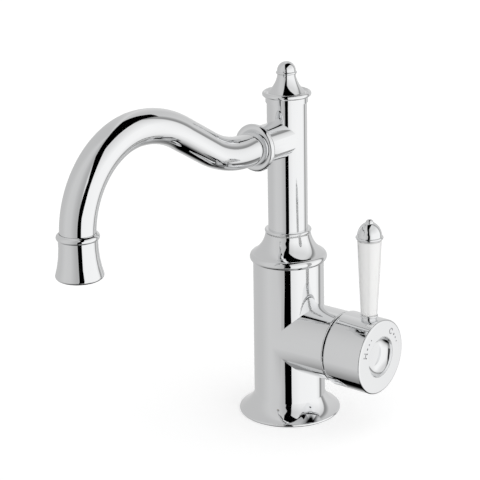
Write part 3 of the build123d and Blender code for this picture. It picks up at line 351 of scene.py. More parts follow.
class Wire:
    """A shader socket that takes part in plain sums.

    Args:
        tree: The node tree that the socket is in.
        socket: The output that the value comes from.
    """

    def __init__(self, tree: bpy.types.NodeTree, socket: bpy.types.NodeSocket) -> None:
        """Keeps the socket and its tree."""
        self.tree = tree
        self.socket = socket

    def maths(self, operation: str, first: "Term", second: "Term") -> "Wire":
        """Adds one Math node.

        Args:
            operation: The node's operation.
            first: Its first value.
            second: Its second value.

        Returns:
            The node's result.
        """
        node = self.tree.nodes.new("ShaderNodeMath")
        node.operation = operation
        for socket, term in zip(node.inputs, (first, second)):
            if isinstance(term, Wire):
                self.tree.links.new(term.socket, socket)
            else:
                socket.default_value = term
        return Wire(self.tree, node.outputs[0])

    def __add__(self, other: "Term") -> "Wire":
        """Adds."""
        return self.maths("ADD", self, other)

    def __radd__(self, other: "Term") -> "Wire":
        """Adds, from the right."""
        return self.maths("ADD", other, self)

    def __sub__(self, other: "Term") -> "Wire":
        """Takes away."""
        return self.maths("SUBTRACT", self, other)

    def __rsub__(self, other: "Term") -> "Wire":
        """Takes away, from the right."""
        return self.maths("SUBTRACT", other, self)

    def __mul__(self, other: "Term") -> "Wire":
        """Multiplies."""
        return self.maths("MULTIPLY", self, other)

    def __rmul__(self, other: "Term") -> "Wire":
        """Multiplies, from the right."""
        return self.maths("MULTIPLY", other, self)

    def __or__(self, other: "Term") -> "Wire":
        """Takes the larger of the two."""
        return self.maths("MAXIMUM", self, other)


Term = Union[Wire, float]


class NodeSheet:
    """A node tree that is filled in node by node.

    Args:
        tree: The tree.
    """

    def __init__(self, tree: bpy.types.NodeTree) -> None:
        """Keeps the tree."""
        self.tree = tree

    def feed(self, node: bpy.types.Node, sockets: dict[str, object]) -> None:
        """Sets or links sockets of a node.

        Args:
            node: The node.
            sockets: Values or wires, by socket name with _ for a space.
        """
        for key, value in sockets.items():
            socket = node.inputs[key.replace("_", " ")]
            if isinstance(value, Wire):
                self.tree.links.new(value.socket, socket)
            else:
                socket.default_value = value

    def node(
        self, kind: str, settings: dict | None = None, output: int | str = 0, **sockets: object,
    ) -> Wire:
        """Adds one node.

        Args:
            kind: The node's type.
            settings: Its settings, by name. A ramp's stops are places and grey levels, from 0 to 1.
            output: Which of its outputs is wanted.
            **sockets: Values or wires of its sockets, by name with _ for a space.

        Returns:
            The wanted output.
        """
        node = self.tree.nodes.new(kind)
        for key, value in (settings or {}).items():
            if key == "stops":
                self.set_stops(node.color_ramp, value)
            else:
                setattr(node, key, value)
        self.feed(node, sockets)
        return Wire(self.tree, node.outputs[output])

    @staticmethod
    def set_stops(ramp: bpy.types.ColorRamp, stops: Sequence[Point]) -> None:
        """Sets a ramp's stops.

        Args:
            ramp: The ramp, with its two first stops.
            stops: Place and grey level of each stop, in order, two or more.
        """
        ramp.elements.remove(ramp.elements[1])
        ramp.elements[0].position = stops[0][0]
        for place, _ in stops[1:]:
            ramp.elements.new(place)
        for element, (_, level) in zip(ramp.elements, stops):
            element.color = (level, level, level, 1)

    def blend(self, factor: Wire, first: Union[Wire, Colour], second: Colour) -> Wire:
        """Mixes two colours.

        Args:
            factor: How much of the second.
            first: The first colour.
            second: The second colour.

        Returns:
            The mixed colour.
        """
        node = self.tree.nodes.new("ShaderNodeMix")
        node.data_type = "RGBA"
        amount, start, end = (node.inputs[index] for index in MIX_INPUTS)
        self.tree.links.new(factor.socket, amount)
        if isinstance(first, Wire):
            self.tree.links.new(first.socket, start)
        else:
            start.default_value = (*first, 1.0)
        end.default_value = (*second, 1.0)
        return Wire(self.tree, node.outputs[MIX_RESULT])

    def seen(self) -> Wire:
        """Gives 1 for rays that the camera, gloss or glass sends, and 0 for light that only falls."""
        camera, glossy, through = (
            self.node("ShaderNodeLightPath", output=name)
            for name in ("Is Camera Ray", "Is Glossy Ray", "Is Transmission Ray")
        )
        return camera | glossy | through


class Shader(NodeSheet):
    """The nodes of one material, with a Principled shader at their end.

    Args:
        name: The material's name.
    """

    def __init__(self, name: str) -> None:
        """Makes the material with its usual shader."""
        self.material = bpy.data.materials.new(name)
        self.material.use_nodes = True
        super().__init__(self.material.node_tree)

    def surface(self, **sockets: object) -> None:
        """Sets or links sockets of the Principled shader, by name with _ for a space."""
        self.feed(self.tree.nodes["Principled BSDF"], sockets)

    def noise(self, per_metre: float, detail: float = 2.0) -> Wire:
        """Adds soft noise from 0 to 1 on the piece's own coordinates, so many waves a metre."""
        place = self.node("ShaderNodeTexCoord", output="Object")
        return self.node("ShaderNodeTexNoise", Vector=place, Scale=per_metre, Detail=detail)


@dataclass(frozen=True)
class MetalFinish:
    """A bare or plated metal.

    Args:
        slot: The record's material slot.
        colour: Its colour.
        worn: The colour of its faintly dulled patches.
        gloss: Roughness at its brightest.
        haze: Roughness that the dulled patches add.
        patch: How many dulled patches a metre holds.
    """

    slot: str
    colour: Colour
    worn: Colour
    gloss: float
    haze: float
    patch: float = 35.0

    def build(self) -> bpy.types.Material:
        """Makes the material.

        Returns:
            The new material.
        """
        shader = Shader(self.slot)
        patches = shader.noise(self.patch, PATCH_DETAIL)
        shader.surface(
            Base_Color=shader.blend(patches, self.colour, self.worn),
            Metallic=1.0,
            Roughness=self.gloss + patches * self.haze,
        )
        return shader.material


@dataclass(frozen=True)
class EtchedFinish(MetalFinish):
    """A plated metal whose sunk marks are etched dull.

    Args:
        etched: Colour of the etched ground.
        dullness: Roughness that the etching adds.
        sunk: Lowest and highest place of the etched ground along the boss, in millimetres.
        ring: Inner and outer radius of the ring that the marks lie in.
        axis_z: Height of the ring's centre.
    """

    etched: Colour = (0.6, 0.6, 0.61)
    dullness: float = 0.4
    sunk: Point = (70.4, 70.7)
    ring: Point = (14.5, 20.7)
    axis_z: float = 52.0

    def build(self) -> bpy.types.Material:
        """Makes the material.

        Returns:
            The new material.
        """
        shader = Shader("etched_chrome")
        patches = shader.noise(self.patch, PATCH_DETAIL)
        place = shader.node("ShaderNodeTexCoord", output="Object")
        x, y, z = (shader.node("ShaderNodeSeparateXYZ", output=axis, Vector=place) for axis in "XYZ")
        up = z - self.axis_z * MM
        reach = up.maths("SQRT", y * y + up * up, 0.0)
        marked = self.between(x, self.sunk) * self.between(reach, self.ring)
        shader.surface(
            Base_Color=shader.blend(marked, shader.blend(patches, self.colour, self.worn), self.etched),
            Metallic=1.0,
            Roughness=self.gloss + patches * self.haze + marked * self.dullness,
        )
        return shader.material

    @staticmethod
    def between(value: Wire, limits: Point) -> Wire:
        """Gives 1 where a length lies between two limits in millimetres, and 0 elsewhere."""
        low, high = limits
        return value.maths("GREATER_THAN", value, low * MM) * value.maths("LESS_THAN", value, high * MM)


@dataclass(frozen=True)
class CoatedFinish:
    """A glazed, moulded or rubber surface.

    Args:
        slot: The record's material slot.
        colour: Its colour.
        shade: The colour of its faintly darker patches.
        gloss: Roughness at its brightest.
        haze: Roughness that the darker patches add.
        coat: Strength of the clear glaze over it.
        grain: How many grains a metre holds, for its bump.
        relief: Height of the grain in millimetres.
        patch: How many darker patches a metre holds.
        coat_haze: Roughness of the glaze.
        relief_share: How much of the grain's height shows.
    """

    slot: str
    colour: Colour
    shade: Colour
    gloss: float
    haze: float
    coat: float = 0.0
    grain: float = 900.0
    relief: float = 0.0
    patch: float = 60.0
    coat_haze: float = 0.03
    relief_share: float = 0.6

    def build(self) -> bpy.types.Material:
        """Makes the material.

        Returns:
            The new material.
        """
        shader = Shader(self.slot)
        patches = shader.noise(self.patch)
        shader.surface(
            Base_Color=shader.blend(patches, self.colour, self.shade),
            Roughness=self.gloss + patches * self.haze,
            Coat_Weight=self.coat,
            Coat_Roughness=self.coat_haze,
        )
        if self.relief:
            shader.surface(Normal=shader.node(
                "ShaderNodeBump", Height=shader.noise(self.grain),
                Distance=self.relief * MM, Strength=self.relief_share,
            ))
        return shader.material


CHROME = ("polished_chrome", (0.88, 0.885, 0.89), (0.86, 0.867, 0.875), 0.01, 0.02)
ETCHED_CHROME = EtchedFinish(*CHROME)
FINISHES = (
    MetalFinish(*CHROME),
    MetalFinish("bright_brass", (0.78, 0.62, 0.32), (0.68, 0.52, 0.25), 0.18, 0.12, 160.0),
    MetalFinish("stud_steel", (0.62, 0.62, 0.63), (0.52, 0.52, 0.54), 0.28, 0.12, 160.0),
    CoatedFinish("white_porcelain", (0.93, 0.93, 0.925), (0.91, 0.91, 0.9), 0.12, 0.05, 1.0, 160.0, 0.01),
    CoatedFinish("disc_ceramic", (0.9, 0.88, 0.84), (0.86, 0.84, 0.8), 0.3, 0.1),
    CoatedFinish("seal_rubber", (0.035, 0.035, 0.036), (0.05, 0.05, 0.05), 0.55, 0.1, relief=0.02),
    CoatedFinish("white_bush", (0.88, 0.88, 0.86), (0.84, 0.84, 0.82), 0.35, 0.1, relief=0.01),
    CoatedFinish("grey_plastic", (0.33, 0.34, 0.36), (0.28, 0.29, 0.31), 0.4, 0.1, relief=0.02),
    CoatedFinish("clear_washer", (0.75, 0.75, 0.74), (0.7, 0.7, 0.69), 0.3, 0.1, relief=0.01),
)


@dataclass
class SubAssembly:
    """Pieces of one body, built together.

    Args:
        finishes: The materials, by slot.
        body: The body that the pieces ride on.
    """

    finishes: dict[str, bpy.types.Material]
    body: str

    def dress(self, obj: bpy.types.Object, node: str, slot: str = "polished_chrome") -> None:
        """Shades a finished piece, and gives it its material and its place in the object.

        Args:
            obj: The piece.
            node: The node that it stands for.
            slot: The record's material slot.
        """
        Bench.smooth(obj)
        obj.data.materials.clear()
        obj.data.materials.append(self.finishes[slot])
        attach(obj, self.body)
        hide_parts(node)
        LOG.info("%s rides on %s, %d faces", obj.name, self.body, len(obj.data.polygons))

    def make(
        self, name: str, node: str, outline: Outline, place: Place = (0, 0, 0),
        toward: Toward = Toward.UP, facets: int = FACETS, slot: str = "polished_chrome", edge: float = 0.0,
    ) -> None:
        """Turns a piece and dresses it.

        Args:
            name: The piece's name.
            node: The node that it stands for.
            outline: Its outline.
            place: Where its axis starts from, in millimetres.
            toward: Direction of its heights.
            facets: How many sides it has.
            slot: The record's material slot.
            edge: Width of its broken edges in millimetres.
        """
        obj = Bench.turn(name, outline, toward, facets)
        if edge:
            Bench.round_edges(obj, edge)
        Bench.shift(obj, place)
        self.dress(obj, node, slot)


@dataclass
class BasePart(SubAssembly):
    """Base flange, body with its boss, the shoulder collar, its bush, and the dome over the cartridge."""

    body: str = "base"
    flange_r: float = 32.5
    flange_h: float = 11.6
    lip_foot_r: float = 32.0
    lip_top_r: float = 31.8
    lip_h: float = 1.8
    flare_mid: Point = (26.04, 6.31)
    flange_bore_r: float = 19.05
    gasket_r: Point = (25.0, 29.0)
    gasket_t: float = 1.8
    spigot_r: float = 19.0
    foot_r: float = 22.8
    top_r: float = 22.3
    top_z: float = 101.5
    top_bore_r: float = 14.5
    top_bore_z: float = 80.0
    boss_z: float = 52.0
    boss_r: float = 22.5
    boss_face: float = 42.0
    boss_edge: float = 0.9
    seat_r: float = 17.6
    seat_back: float = 9.0
    nut_r: float = 19.6
    nut_back: float = 34.0
    inlet_r: float = 4.5
    inlet_at: Point = (1.0, 8.5)
    inlet_depth: float = 60.0
    stud_hole_r: float = 3.4
    stud_hole_x: float = -12.0
    stud_hole_depth: float = 15.0
    collar_low_z: float = 86.0
    collar_bore_r: float = 10.9
    collar_spigot_r: float = 14.45
    collar_foot_r: float = 22.4
    bulge: Point = (24.35, 104.2)
    shoulder: Point = (22.2, 107.0)
    sweep_mid: Point = (17.56, 111.42)
    neck_r: float = 14.2
    neck_edge: float = 0.3
    collar_top_z: float = 120.0
    bush_low_z: float = 112.0
    bush_bore_r: float = 9.05
    bush_r: float = 13.0
    bush_t: float = 0.5
    dome_r: float = 16.0
    dome_bore_r: float = 11.2
    dome_back: float = 41.5
    dome_front: float = 45.3
    dome_mid: Point = (14.0, 44.35)
    dome_lip: float = 0.8

    def flange(self) -> None:
        """Builds the base flange: a lip, a concave flare and the groove for its gasket."""
        gasket_in, gasket_out = self.gasket_r
        self.make("flange", "base_flange", [
            (self.flange_bore_r, 0),
            (gasket_in, 0),
            (gasket_in, self.gasket_t),
            (gasket_out, self.gasket_t),
            (gasket_out, 0),
            (self.lip_foot_r, 0),
            Arc((self.flange_r, self.lip_h / 2), (self.lip_top_r, self.lip_h)),
            Arc(self.flare_mid, (self.foot_r, self.flange_h)),
            (self.flange_bore_r, self.flange_h),
        ])

    def casting(self) -> None:
        """Builds the body with its boss, the seat in the boss, the top bore and the holes underneath."""
        boss_centre = (0, 0, self.boss_z)
        obj = Bench.turn("body", [
            (0, 0),
            (self.spigot_r, 0),
            (self.spigot_r, self.flange_h),
            (self.foot_r, self.flange_h),
            (self.top_r, self.top_z),
            (self.top_bore_r, self.top_z),
            (self.top_bore_r, self.top_bore_z),
            (0, self.top_bore_z),
        ])
        Bench.carve(obj, [
            (0, 0),
            (self.boss_r, 0),
            *rounded_edge(self.boss_r, self.boss_face, self.boss_edge),
            (0, self.boss_face),
        ], boss_centre, Toward.BOSS, operation="UNION")
        seat = rod(self.seat_back, self.seat_r, self.nut_back, self.nut_r, self.boss_face + OVERCUT)
        Bench.carve(obj, seat, boss_centre, Toward.BOSS)
        inlet_x, inlet_y = self.inlet_at
        for radius, depth, x, y in (
            (self.inlet_r, self.inlet_depth, inlet_x, inlet_y),
            (self.inlet_r, self.inlet_depth, inlet_x, -inlet_y),
            (self.stud_hole_r, self.stud_hole_depth, self.stud_hole_x, 0),
        ):
            Bench.carve(obj, rod(-OVERCUT, radius, depth), (x, y, 0), facets=SMALL_FACETS)
        self.dress(obj, "mixer_body")

    def collar(self) -> None:
        """Builds the shoulder collar, a bulge and a concave neck, and the bush in its top."""
        self.make("collar", "shoulder_collar", [
            (self.collar_bore_r, self.collar_low_z),
            (self.collar_spigot_r, self.collar_low_z),
            (self.collar_spigot_r, self.top_z),
            (self.collar_foot_r, self.top_z),
            Arc(self.bulge, self.shoulder),
            Arc(self.sweep_mid, (self.neck_r, self.collar_top_z - self.neck_edge)),
            (self.neck_r - self.neck_edge, self.collar_top_z),
            (self.collar_bore_r, self.collar_top_z),
        ])
        self.make("bush", "upper_bush", [
            (self.bush_bore_r, self.bush_low_z),
            (self.collar_bore_r, self.bush_low_z),
            (self.collar_bore_r, self.collar_top_z),
            (self.bush_r, self.collar_top_z),
            (self.bush_r, self.collar_top_z + self.bush_t),
            (self.bush_bore_r, self.collar_top_z + self.bush_t),
        ], facets=SMALL_FACETS, slot="white_bush")

    def dome(self) -> None:
        """Builds the dome cover over the cartridge's nut, inside the handle's cap."""
        self.make("cartridge_dome", "dome_cover", [
            (self.dome_bore_r, self.dome_back),
            (self.dome_r, self.dome_back),
            Arc(self.dome_mid, (self.dome_bore_r + self.dome_lip, self.dome_front)),
            (self.dome_bore_r, self.dome_front),
        ], (0, 0, self.boss_z), Toward.BOSS, SMALL_FACETS)

    def build(self) -> None:
        """Builds every piece that stays still."""
        self.flange()
        self.casting()
        self.collar()
        self.dome()


@dataclass
class SpoutPart(SubAssembly):
    """Column with its cap and finial, the gooseneck, its ring, the nozzle and its aerator."""

    body: str = "spout"
    foot_z: float = 120.55
    tail_r: float = 9.0
    tail_low_z: float = 82.0
    foot_bead_r: float = 14.7
    foot_bead_h: float = 2.0
    column_r: float = 12.4
    column_top_z: float = 203.7
    spout_z: float = 181.5
    stub_r: float = 11.8
    stub_end: float = 29.7
    socket_start: float = 18.5
    ring_r: float = 14.7
    ring_w: float = 4.6
    ring_face: Point = (11.25, 0.16)
    ring_fall: float = 0.7
    tube_r: float = 10.1
    tube_wall: float = 1.5
    tube_start: float = 20.5
    level_end: float = 40.5
    reach: float = 185.9
    crest_rise: float = 34.4
    outlet_bend_r: float = 49.5
    steepness: float = 1.56
    tube_end_z: float = 161.0
    nozzle_low_z: float = 143.4
    nozzle_top_z: float = 169.2
    nozzle_bore_r: float = 9.9
    shoulder_z: float = 156.0
    nozzle_end_r: float = 12.2
    rim_mid: Point = (13.05, 144.1)
    rim: Point = (13.35, 145.4)
    waist: Point = (11.3, 155.0)
    nozzle_neck: Point = (10.85, 160.5)
    nozzle_bead: Point = (11.95, 167.0)
    nozzle_bead_h: float = 3.4
    nozzle_lip_r: float = 10.45
    nozzle_fit: float = 0.12
    housing_r: Point = (8.55, 9.85)
    housing_low_z: float = 144.2
    housing_top_z: float = 154.2
    housing_edge: float = 0.15
    skirt_r: float = 13.1
    cap_ring_r: float = 15.1
    cap_ring_z: float = 208.8
    cap_ring_thick: float = 1.6
    dish_rim_r: float = 12.3
    dish_r: float = 11.6
    dish_z: float = 209.2
    dish_edge: float = 0.3
    flare_r: float = 11.3
    flare_foot_z: float = 210.0
    flare_mid: Point = (7.6, 214.66)
    flare_neck_r: float = 5.7
    flare_neck_z: float = 219.7
    flare_top_z: float = 220.9
    finial_r: float = 5.75
    finial_bead: Point = (6.45, 221.9)
    finial_bead_thick: float = 0.8
    finial_top_z: float = 228.7

    def column(self) -> None:
        """Builds the column with its foot bead and the stub for the spout."""
        bead_side = self.foot_bead_r - self.foot_bead_h / 2
        bead_top = self.foot_z + self.foot_bead_h
        obj = Bench.turn("column_tube", [
            (0, self.tail_low_z),
            (self.tail_r, self.tail_low_z),
            (self.tail_r, self.foot_z),
            (bead_side, self.foot_z),
            Arc((self.foot_bead_r, self.foot_z + self.foot_bead_h / 2), (bead_side, bead_top)),
            (self.column_r, bead_top),
            (self.column_r, self.column_top_z),
            (0, self.column_top_z),
        ])
        stub = rod(0, self.stub_r, self.stub_end)
        socket = rod(self.socket_start, self.tube_r, self.stub_end + OVERCUT)
        Bench.carve(obj, stub, (0, 0, self.spout_z), Toward.SPOUT, operation="UNION")
        Bench.carve(obj, socket, (0, 0, self.spout_z), Toward.SPOUT)
        self.dress(obj, "column")

    def ring(self) -> None:
        """Builds the half-round ring where the tube enters the stub."""
        side_r, end = self.ring_r - self.ring_w / 2, self.stub_end + self.ring_w
        face_r, face_end = self.ring_face
        self.make("stub_ring", "spout_ring", [
            (self.tube_r, self.stub_end),
            (side_r, self.stub_end),
            Arc((self.ring_r, (self.stub_end + end) / 2), (side_r, end)),
            Arc((face_r, end - face_end), (self.tube_r, end - self.ring_fall)),
        ], (0, 0, self.spout_z), Toward.SPOUT)

    def gooseneck(self) -> None:
        """Builds the bent tube: a ring drawn along its straights and spun round its bends."""
        rise_reach = self.reach - self.outlet_bend_r - self.level_end
        rise = self.steepness * atan2(self.crest_rise, rise_reach)
        both_bends = (rise_reach * sin(rise) - self.crest_rise * cos(rise)) / (1 - cos(rise))
        slope = (rise_reach - both_bends * sin(rise)) / cos(rise)
        bend = both_bends / 2
        crest_y = self.outlet_bend_r - self.reach
        crest_z = self.spout_z + self.crest_rise
        end_z = crest_z - self.outlet_bend_r
        Bench.free()
        bpy.ops.mesh.primitive_circle_add(
            vertices=FACETS, radius=self.tube_r * MM, rotation=(radians(90), 0, 0),
            location=(0, -self.tube_start * MM, self.spout_z * MM),
        )
        obj = bpy.context.object
        obj.name = "gooseneck"
        bpy.ops.object.transform_apply()
        bpy.ops.object.mode_set(mode="EDIT")
        bpy.ops.mesh.select_all(action="SELECT")
        Bench.extrude((0, self.tube_start - self.level_end, 0))
        self.spin((-self.level_end, self.spout_z + bend), rise)
        Bench.extrude((0, -slope * cos(rise), slope * sin(rise)))
        self.spin((crest_y, crest_z - bend), -rise)
        self.spin((crest_y, end_z), -pi / 2)
        Bench.extrude((0, 0, self.tube_end_z - end_z))
        Bench.close_mesh()
        bpy.ops.object.mode_set(mode="OBJECT")
        wall = obj.modifiers.new("wall", "SOLIDIFY")
        wall.thickness = self.tube_wall * MM
        wall.offset = -1
        Bench.pick(obj)
        bpy.ops.object.modifier_apply(modifier=wall.name)
        self.dress(obj, "spout_crook")

    def spin(self, centre: Point, angle: float) -> None:
        """Spins the selected ring about a bend's centre, given as y and z, by an angle in radians."""
        bpy.ops.mesh.spin(
            steps=ceil(abs(degrees(angle)) / BEND_STEP), angle=angle,
            center=(0, centre[0] * MM, centre[1] * MM), axis=(1, 0, 0),
        )

    def nozzle(self) -> None:
        """Builds the bell-shaped nozzle with its bead, and the aerator's housing in it."""
        neck_r, neck_z = self.nozzle_neck
        bead_r, bead_z = self.nozzle_bead
        self.make("bell", "nozzle", [
            (self.nozzle_bore_r, self.nozzle_low_z),
            (self.nozzle_end_r, self.nozzle_low_z),
            Arc(self.rim_mid, self.rim),
            Arc(self.waist, self.nozzle_neck),
            (neck_r, bead_z - self.nozzle_bead_h / 2),
            Arc((bead_r, bead_z), (neck_r, bead_z + self.nozzle_bead_h / 2)),
            (self.nozzle_lip_r, self.nozzle_top_z),
            (self.tube_r + self.nozzle_fit, self.nozzle_top_z),
            (self.tube_r, self.tube_end_z),
            (self.nozzle_bore_r, self.shoulder_z),
        ], (0, -self.reach, 0))
        self.make(
            "aerator", "aerator_housing", tube(*self.housing_r, self.housing_low_z, self.housing_top_z),
            (0, -self.reach, 0), facets=SMALL_FACETS, slot="bright_brass", edge=self.housing_edge,
        )

    def cap(self) -> None:
        """Builds the column's cap: skirt, half-round ring and dished top."""
        middle_r = self.cap_ring_r - self.cap_ring_thick
        self.make("column_cap_turned", "column_cap", [
            (0, self.column_top_z),
            (self.skirt_r, self.column_top_z),
            (self.skirt_r, self.cap_ring_z - self.cap_ring_thick),
            (middle_r, self.cap_ring_z - self.cap_ring_thick),
            Arc((self.cap_ring_r, self.cap_ring_z), (middle_r, self.cap_ring_z + self.cap_ring_thick)),
            (self.dish_rim_r, self.dish_z + self.dish_edge),
            (self.dish_r, self.dish_z),
            (0, self.dish_z),
        ])

    def finial(self) -> None:
        """Builds the finial's flare and its dome with the bead."""
        self.make("flare", "finial_flare", [
            (0, self.dish_z),
            (self.flare_r, self.dish_z),
            (self.flare_r, self.flare_foot_z),
            Arc(self.flare_mid, (self.flare_neck_r, self.flare_neck_z)),
            (self.flare_neck_r, self.flare_top_z),
            (0, self.flare_top_z),
        ])
        bead_r, bead_z = self.finial_bead
        centre_z = self.finial_top_z - self.finial_r
        self.make("dome", "finial_dome", [
            (0, self.flare_top_z),
            (self.finial_r, self.flare_top_z),
            (self.finial_r, bead_z - self.finial_bead_thick),
            Arc((bead_r, bead_z), (self.finial_r, bead_z + self.finial_bead_thick)),
            (self.finial_r, centre_z),
            *self.ball_top(self.finial_r, centre_z),
        ])

    @staticmethod
    def ball_top(radius: float, centre_z: float) -> tuple[Arc, Point]:
        """Gives the outline of a ball's top.

        Args:
            radius: The ball's radius.
            centre_z: The height of its centre.

        Returns:
            An arc to just beside the top, and the top itself.
        """
        half, last = radians(45), radians(1)
        arc = Arc((radius * sin(half), centre_z + radius * cos(half)),
                  (radius * sin(last), centre_z + radius * cos(last)))
        return arc, (0, centre_z + radius)

    def build(self) -> None:
        """Builds every piece that swivels."""
        self.column()
        self.ring()
        self.gooseneck()
        self.nozzle()
        self.cap()
        self.finial()


@dataclass
class HandlePart(SubAssembly):
    """Handle cap with its marks, index disc, and the lever with its porcelain sleeve."""

    body: str = "handle"
    axis_z: float = 52.0
    cap_r: float = 23.7
    cap_back: float = 43.4
    cap_front: float = 70.8
    rear_round: float = 1.6
    front_round: float = 1.2
    edge_w: float = 0.2
    bore_r: float = 21.9
    bore_end: float = 57.0
    hub_r: float = 9.0
    hub_back: float = 50.5
    spindle_r: float = 3.65
    spindle_end: float = 60.3
    recess_r: float = 12.9
    recess_floor: float = 65.6
    index_r: float = 12.85
    index_lip: Point = (12.6, 70.6)
    wall_foot: Point = (12.4, 69.6)
    cove_mid: Point = (10.2, 66.8)
    cove_end: Point = (7.0, 65.8)
    dish_mid: Point = (3.8, 65.78)
    dish_end: Point = (0.5, 65.75)
    mark_r: float = 17.6
    cold_angle: float = 52.0
    hot_angle: float = 160.0
    mark_depth: float = 0.3
    cutter_h: float = 1.0
    mark_h: float = 4.0
    mark_stroke: float = 0.8
    hot_stem: float = 1.4
    cold_gap: Point = (3.2, 1.8)
    dot_radii: tuple[float, float, float] = (0.75, 0.6, 0.45)
    dot_turns: tuple[float, float, float] = (14.0, 24.0, 34.0)
    grub_at: Place = (55.0, 0, 0)
    grub_r: float = 2.15
    grub_top_z: float = 48.4
    grub_access_r: float = 2.6
    grub_access_z: float = 36.55
    lever_at: Place = (61.8, 0, 0)
    stud_r: float = 3.05
    stud_foot_z: float = 64.0
    neck_seat_z: float = 75.1
    neck_r: float = 4.8
    neck_bead: Point = (5.6, 77.7)
    neck_top_z: float = 78.4
    low_washer_r: float = 4.7
    sleeve_low_z: float = 78.8
    sleeve_top_z: float = 126.3
    sleeve_low_r: float = 5.1
    sleeve_mid: Point = (6.395, 102.55)
    sleeve_top_r: float = 7.45
    sleeve_edge: float = 0.45
    top_washer_r: float = 6.9
    tip_foot_z: float = 126.8
    tip_rim_r: float = 7.5
    tip_bead: Point = (8.5, 128.0)
    tip_bead_thick: float = 0.9
    tip_dome_r: float = 7.6
    tip_dome_mid: Point = (6.35, 133.7)
    tip_dome_end: Point = (2.85, 137.2)
    ball_r: float = 2.6
    tip_top_z: float = 139.5

    def cap(self) -> None:
        """Builds the cap: its shell, hub and recess, the seats for lever and screw, and the marks."""
        rear = self.rear_round
        off = rear * (1 - cos(radians(45)))
        obj = Bench.turn("handle_shell", [
            (0, self.spindle_end),
            (self.spindle_r, self.spindle_end),
            (self.spindle_r, self.hub_back),
            (self.hub_r, self.hub_back),
            (self.hub_r, self.bore_end),
            (self.bore_r, self.bore_end),
            (self.bore_r, self.cap_back),
            (self.cap_r - rear, self.cap_back),
            Arc((self.cap_r - off, self.cap_back + off), (self.cap_r, self.cap_back + rear)),
            *rounded_edge(self.cap_r, self.cap_front, self.front_round),
            (self.recess_r, self.cap_front),
            (self.recess_r, self.recess_floor),
            (0, self.recess_floor),
        ], Toward.BOSS, CAP_FACETS)
        Bench.round_edges(obj, self.edge_w)
        Bench.shift(obj, (0, 0, self.axis_z))
        lever_seat = rod(self.stud_foot_z, self.stud_r, self.neck_seat_z, self.neck_r, self.neck_top_z)
        grub_hole = rod(0, self.grub_access_r, self.grub_access_z, self.grub_r, self.grub_top_z)
        Bench.carve(obj, lever_seat, self.lever_at, facets=SMALL_FACETS)
        Bench.carve(obj, grub_hole, self.grub_at, facets=SMALL_FACETS)
        for mark in self.marks():
            Bench.combine(obj, mark, "DIFFERENCE")
        self.dress(obj, "handle_cap")
        chrome = self.finishes["polished_chrome"]
        etched = ETCHED_CHROME.build()
        obj.material_slots[chrome.name].material = etched

    def marks(self) -> list[bpy.types.Object]:
        """Makes the cutters of the marks: a hot and a cold letter, and three dots beside each.

        Returns:
            The cutters, in place on the cap's face.
        """
        deep, high = self.mark_depth, self.cutter_h
        width, middle = deep + high, (high - deep) / 2
        outer = self.mark_h / 2
        curve = tube(outer - self.mark_stroke, outer, -deep, high)
        cold = Bench.turn("cold", curve, Toward.BOSS, SMALL_FACETS)
        gap = Bench.block((width + OVERCUT, *self.cold_gap), (middle, outer, 0))
        Bench.combine(cold, gap, "DIFFERENCE")
        hot = Bench.block((width, self.mark_stroke, self.mark_h), (middle, -self.hot_stem, 0))
        stem = Bench.block((width, self.mark_stroke, self.mark_h), (middle, self.hot_stem, 0))
        bar = Bench.block((width, 2 * self.hot_stem, self.mark_stroke), (middle, 0, 0))
        Bench.combine(hot, stem, "UNION")
        Bench.combine(hot, bar, "UNION")
        self.place_mark(cold, self.cold_angle, self.cold_angle - 90)
        self.place_mark(hot, self.hot_angle, self.hot_angle - 90)
        cutters = [cold, hot]
        for radius, turn in zip(self.dot_radii, self.dot_turns):
            for angle in (self.cold_angle - turn, self.hot_angle - turn):
                dot = Bench.turn("dot", rod(-deep, radius, high), Toward.BOSS, DOT_FACETS)
                self.place_mark(dot, angle, 0)
                cutters.append(dot)
        return cutters

    def place_mark(self, mark: bpy.types.Object, angle: float, turn: float) -> None:
        """Puts a mark's cutter on the cap's face.

        Args:
            mark: The cutter, made about the scene's origin.
            angle: Where it goes round the face, in degrees from the right as seen from the front.
            turn: How far it is turned in the face, in degrees.
        """
        mark.data.transform(Matrix.Rotation(radians(turn), 4, "X"))
        across, up = self.mark_r * cos(radians(angle)), self.mark_r * sin(radians(angle))
        Bench.shift(mark, (self.cap_front, across, self.axis_z + up))

    def index(self) -> None:
        """Builds the disc in the recess."""
        self.make("index_plate", "index_disc", [
            (0, self.recess_floor),
            (self.index_r, self.recess_floor),
            (self.index_r, self.index_lip[1]),
            self.index_lip,
            self.wall_foot,
            Arc(self.cove_mid, self.cove_end),
            Arc(self.dish_mid, self.dish_end),
            (0, self.dish_end[1]),
        ], (0, 0, self.axis_z), Toward.BOSS)

    def washers(self) -> None:
        """Builds the thin washers at the sleeve's ends."""
        for name, node, radius, low, high in (
            ("sleeve_foot_washer", "lower_washer", self.low_washer_r, self.neck_top_z, self.sleeve_low_z),
            ("sleeve_top_washer", "upper_washer", self.top_washer_r, self.sleeve_top_z, self.tip_foot_z),
        ):
            washer = tube(self.stud_r, radius, low, high)
            self.make(name, node, washer, self.lever_at, facets=SMALL_FACETS, slot="clear_washer")

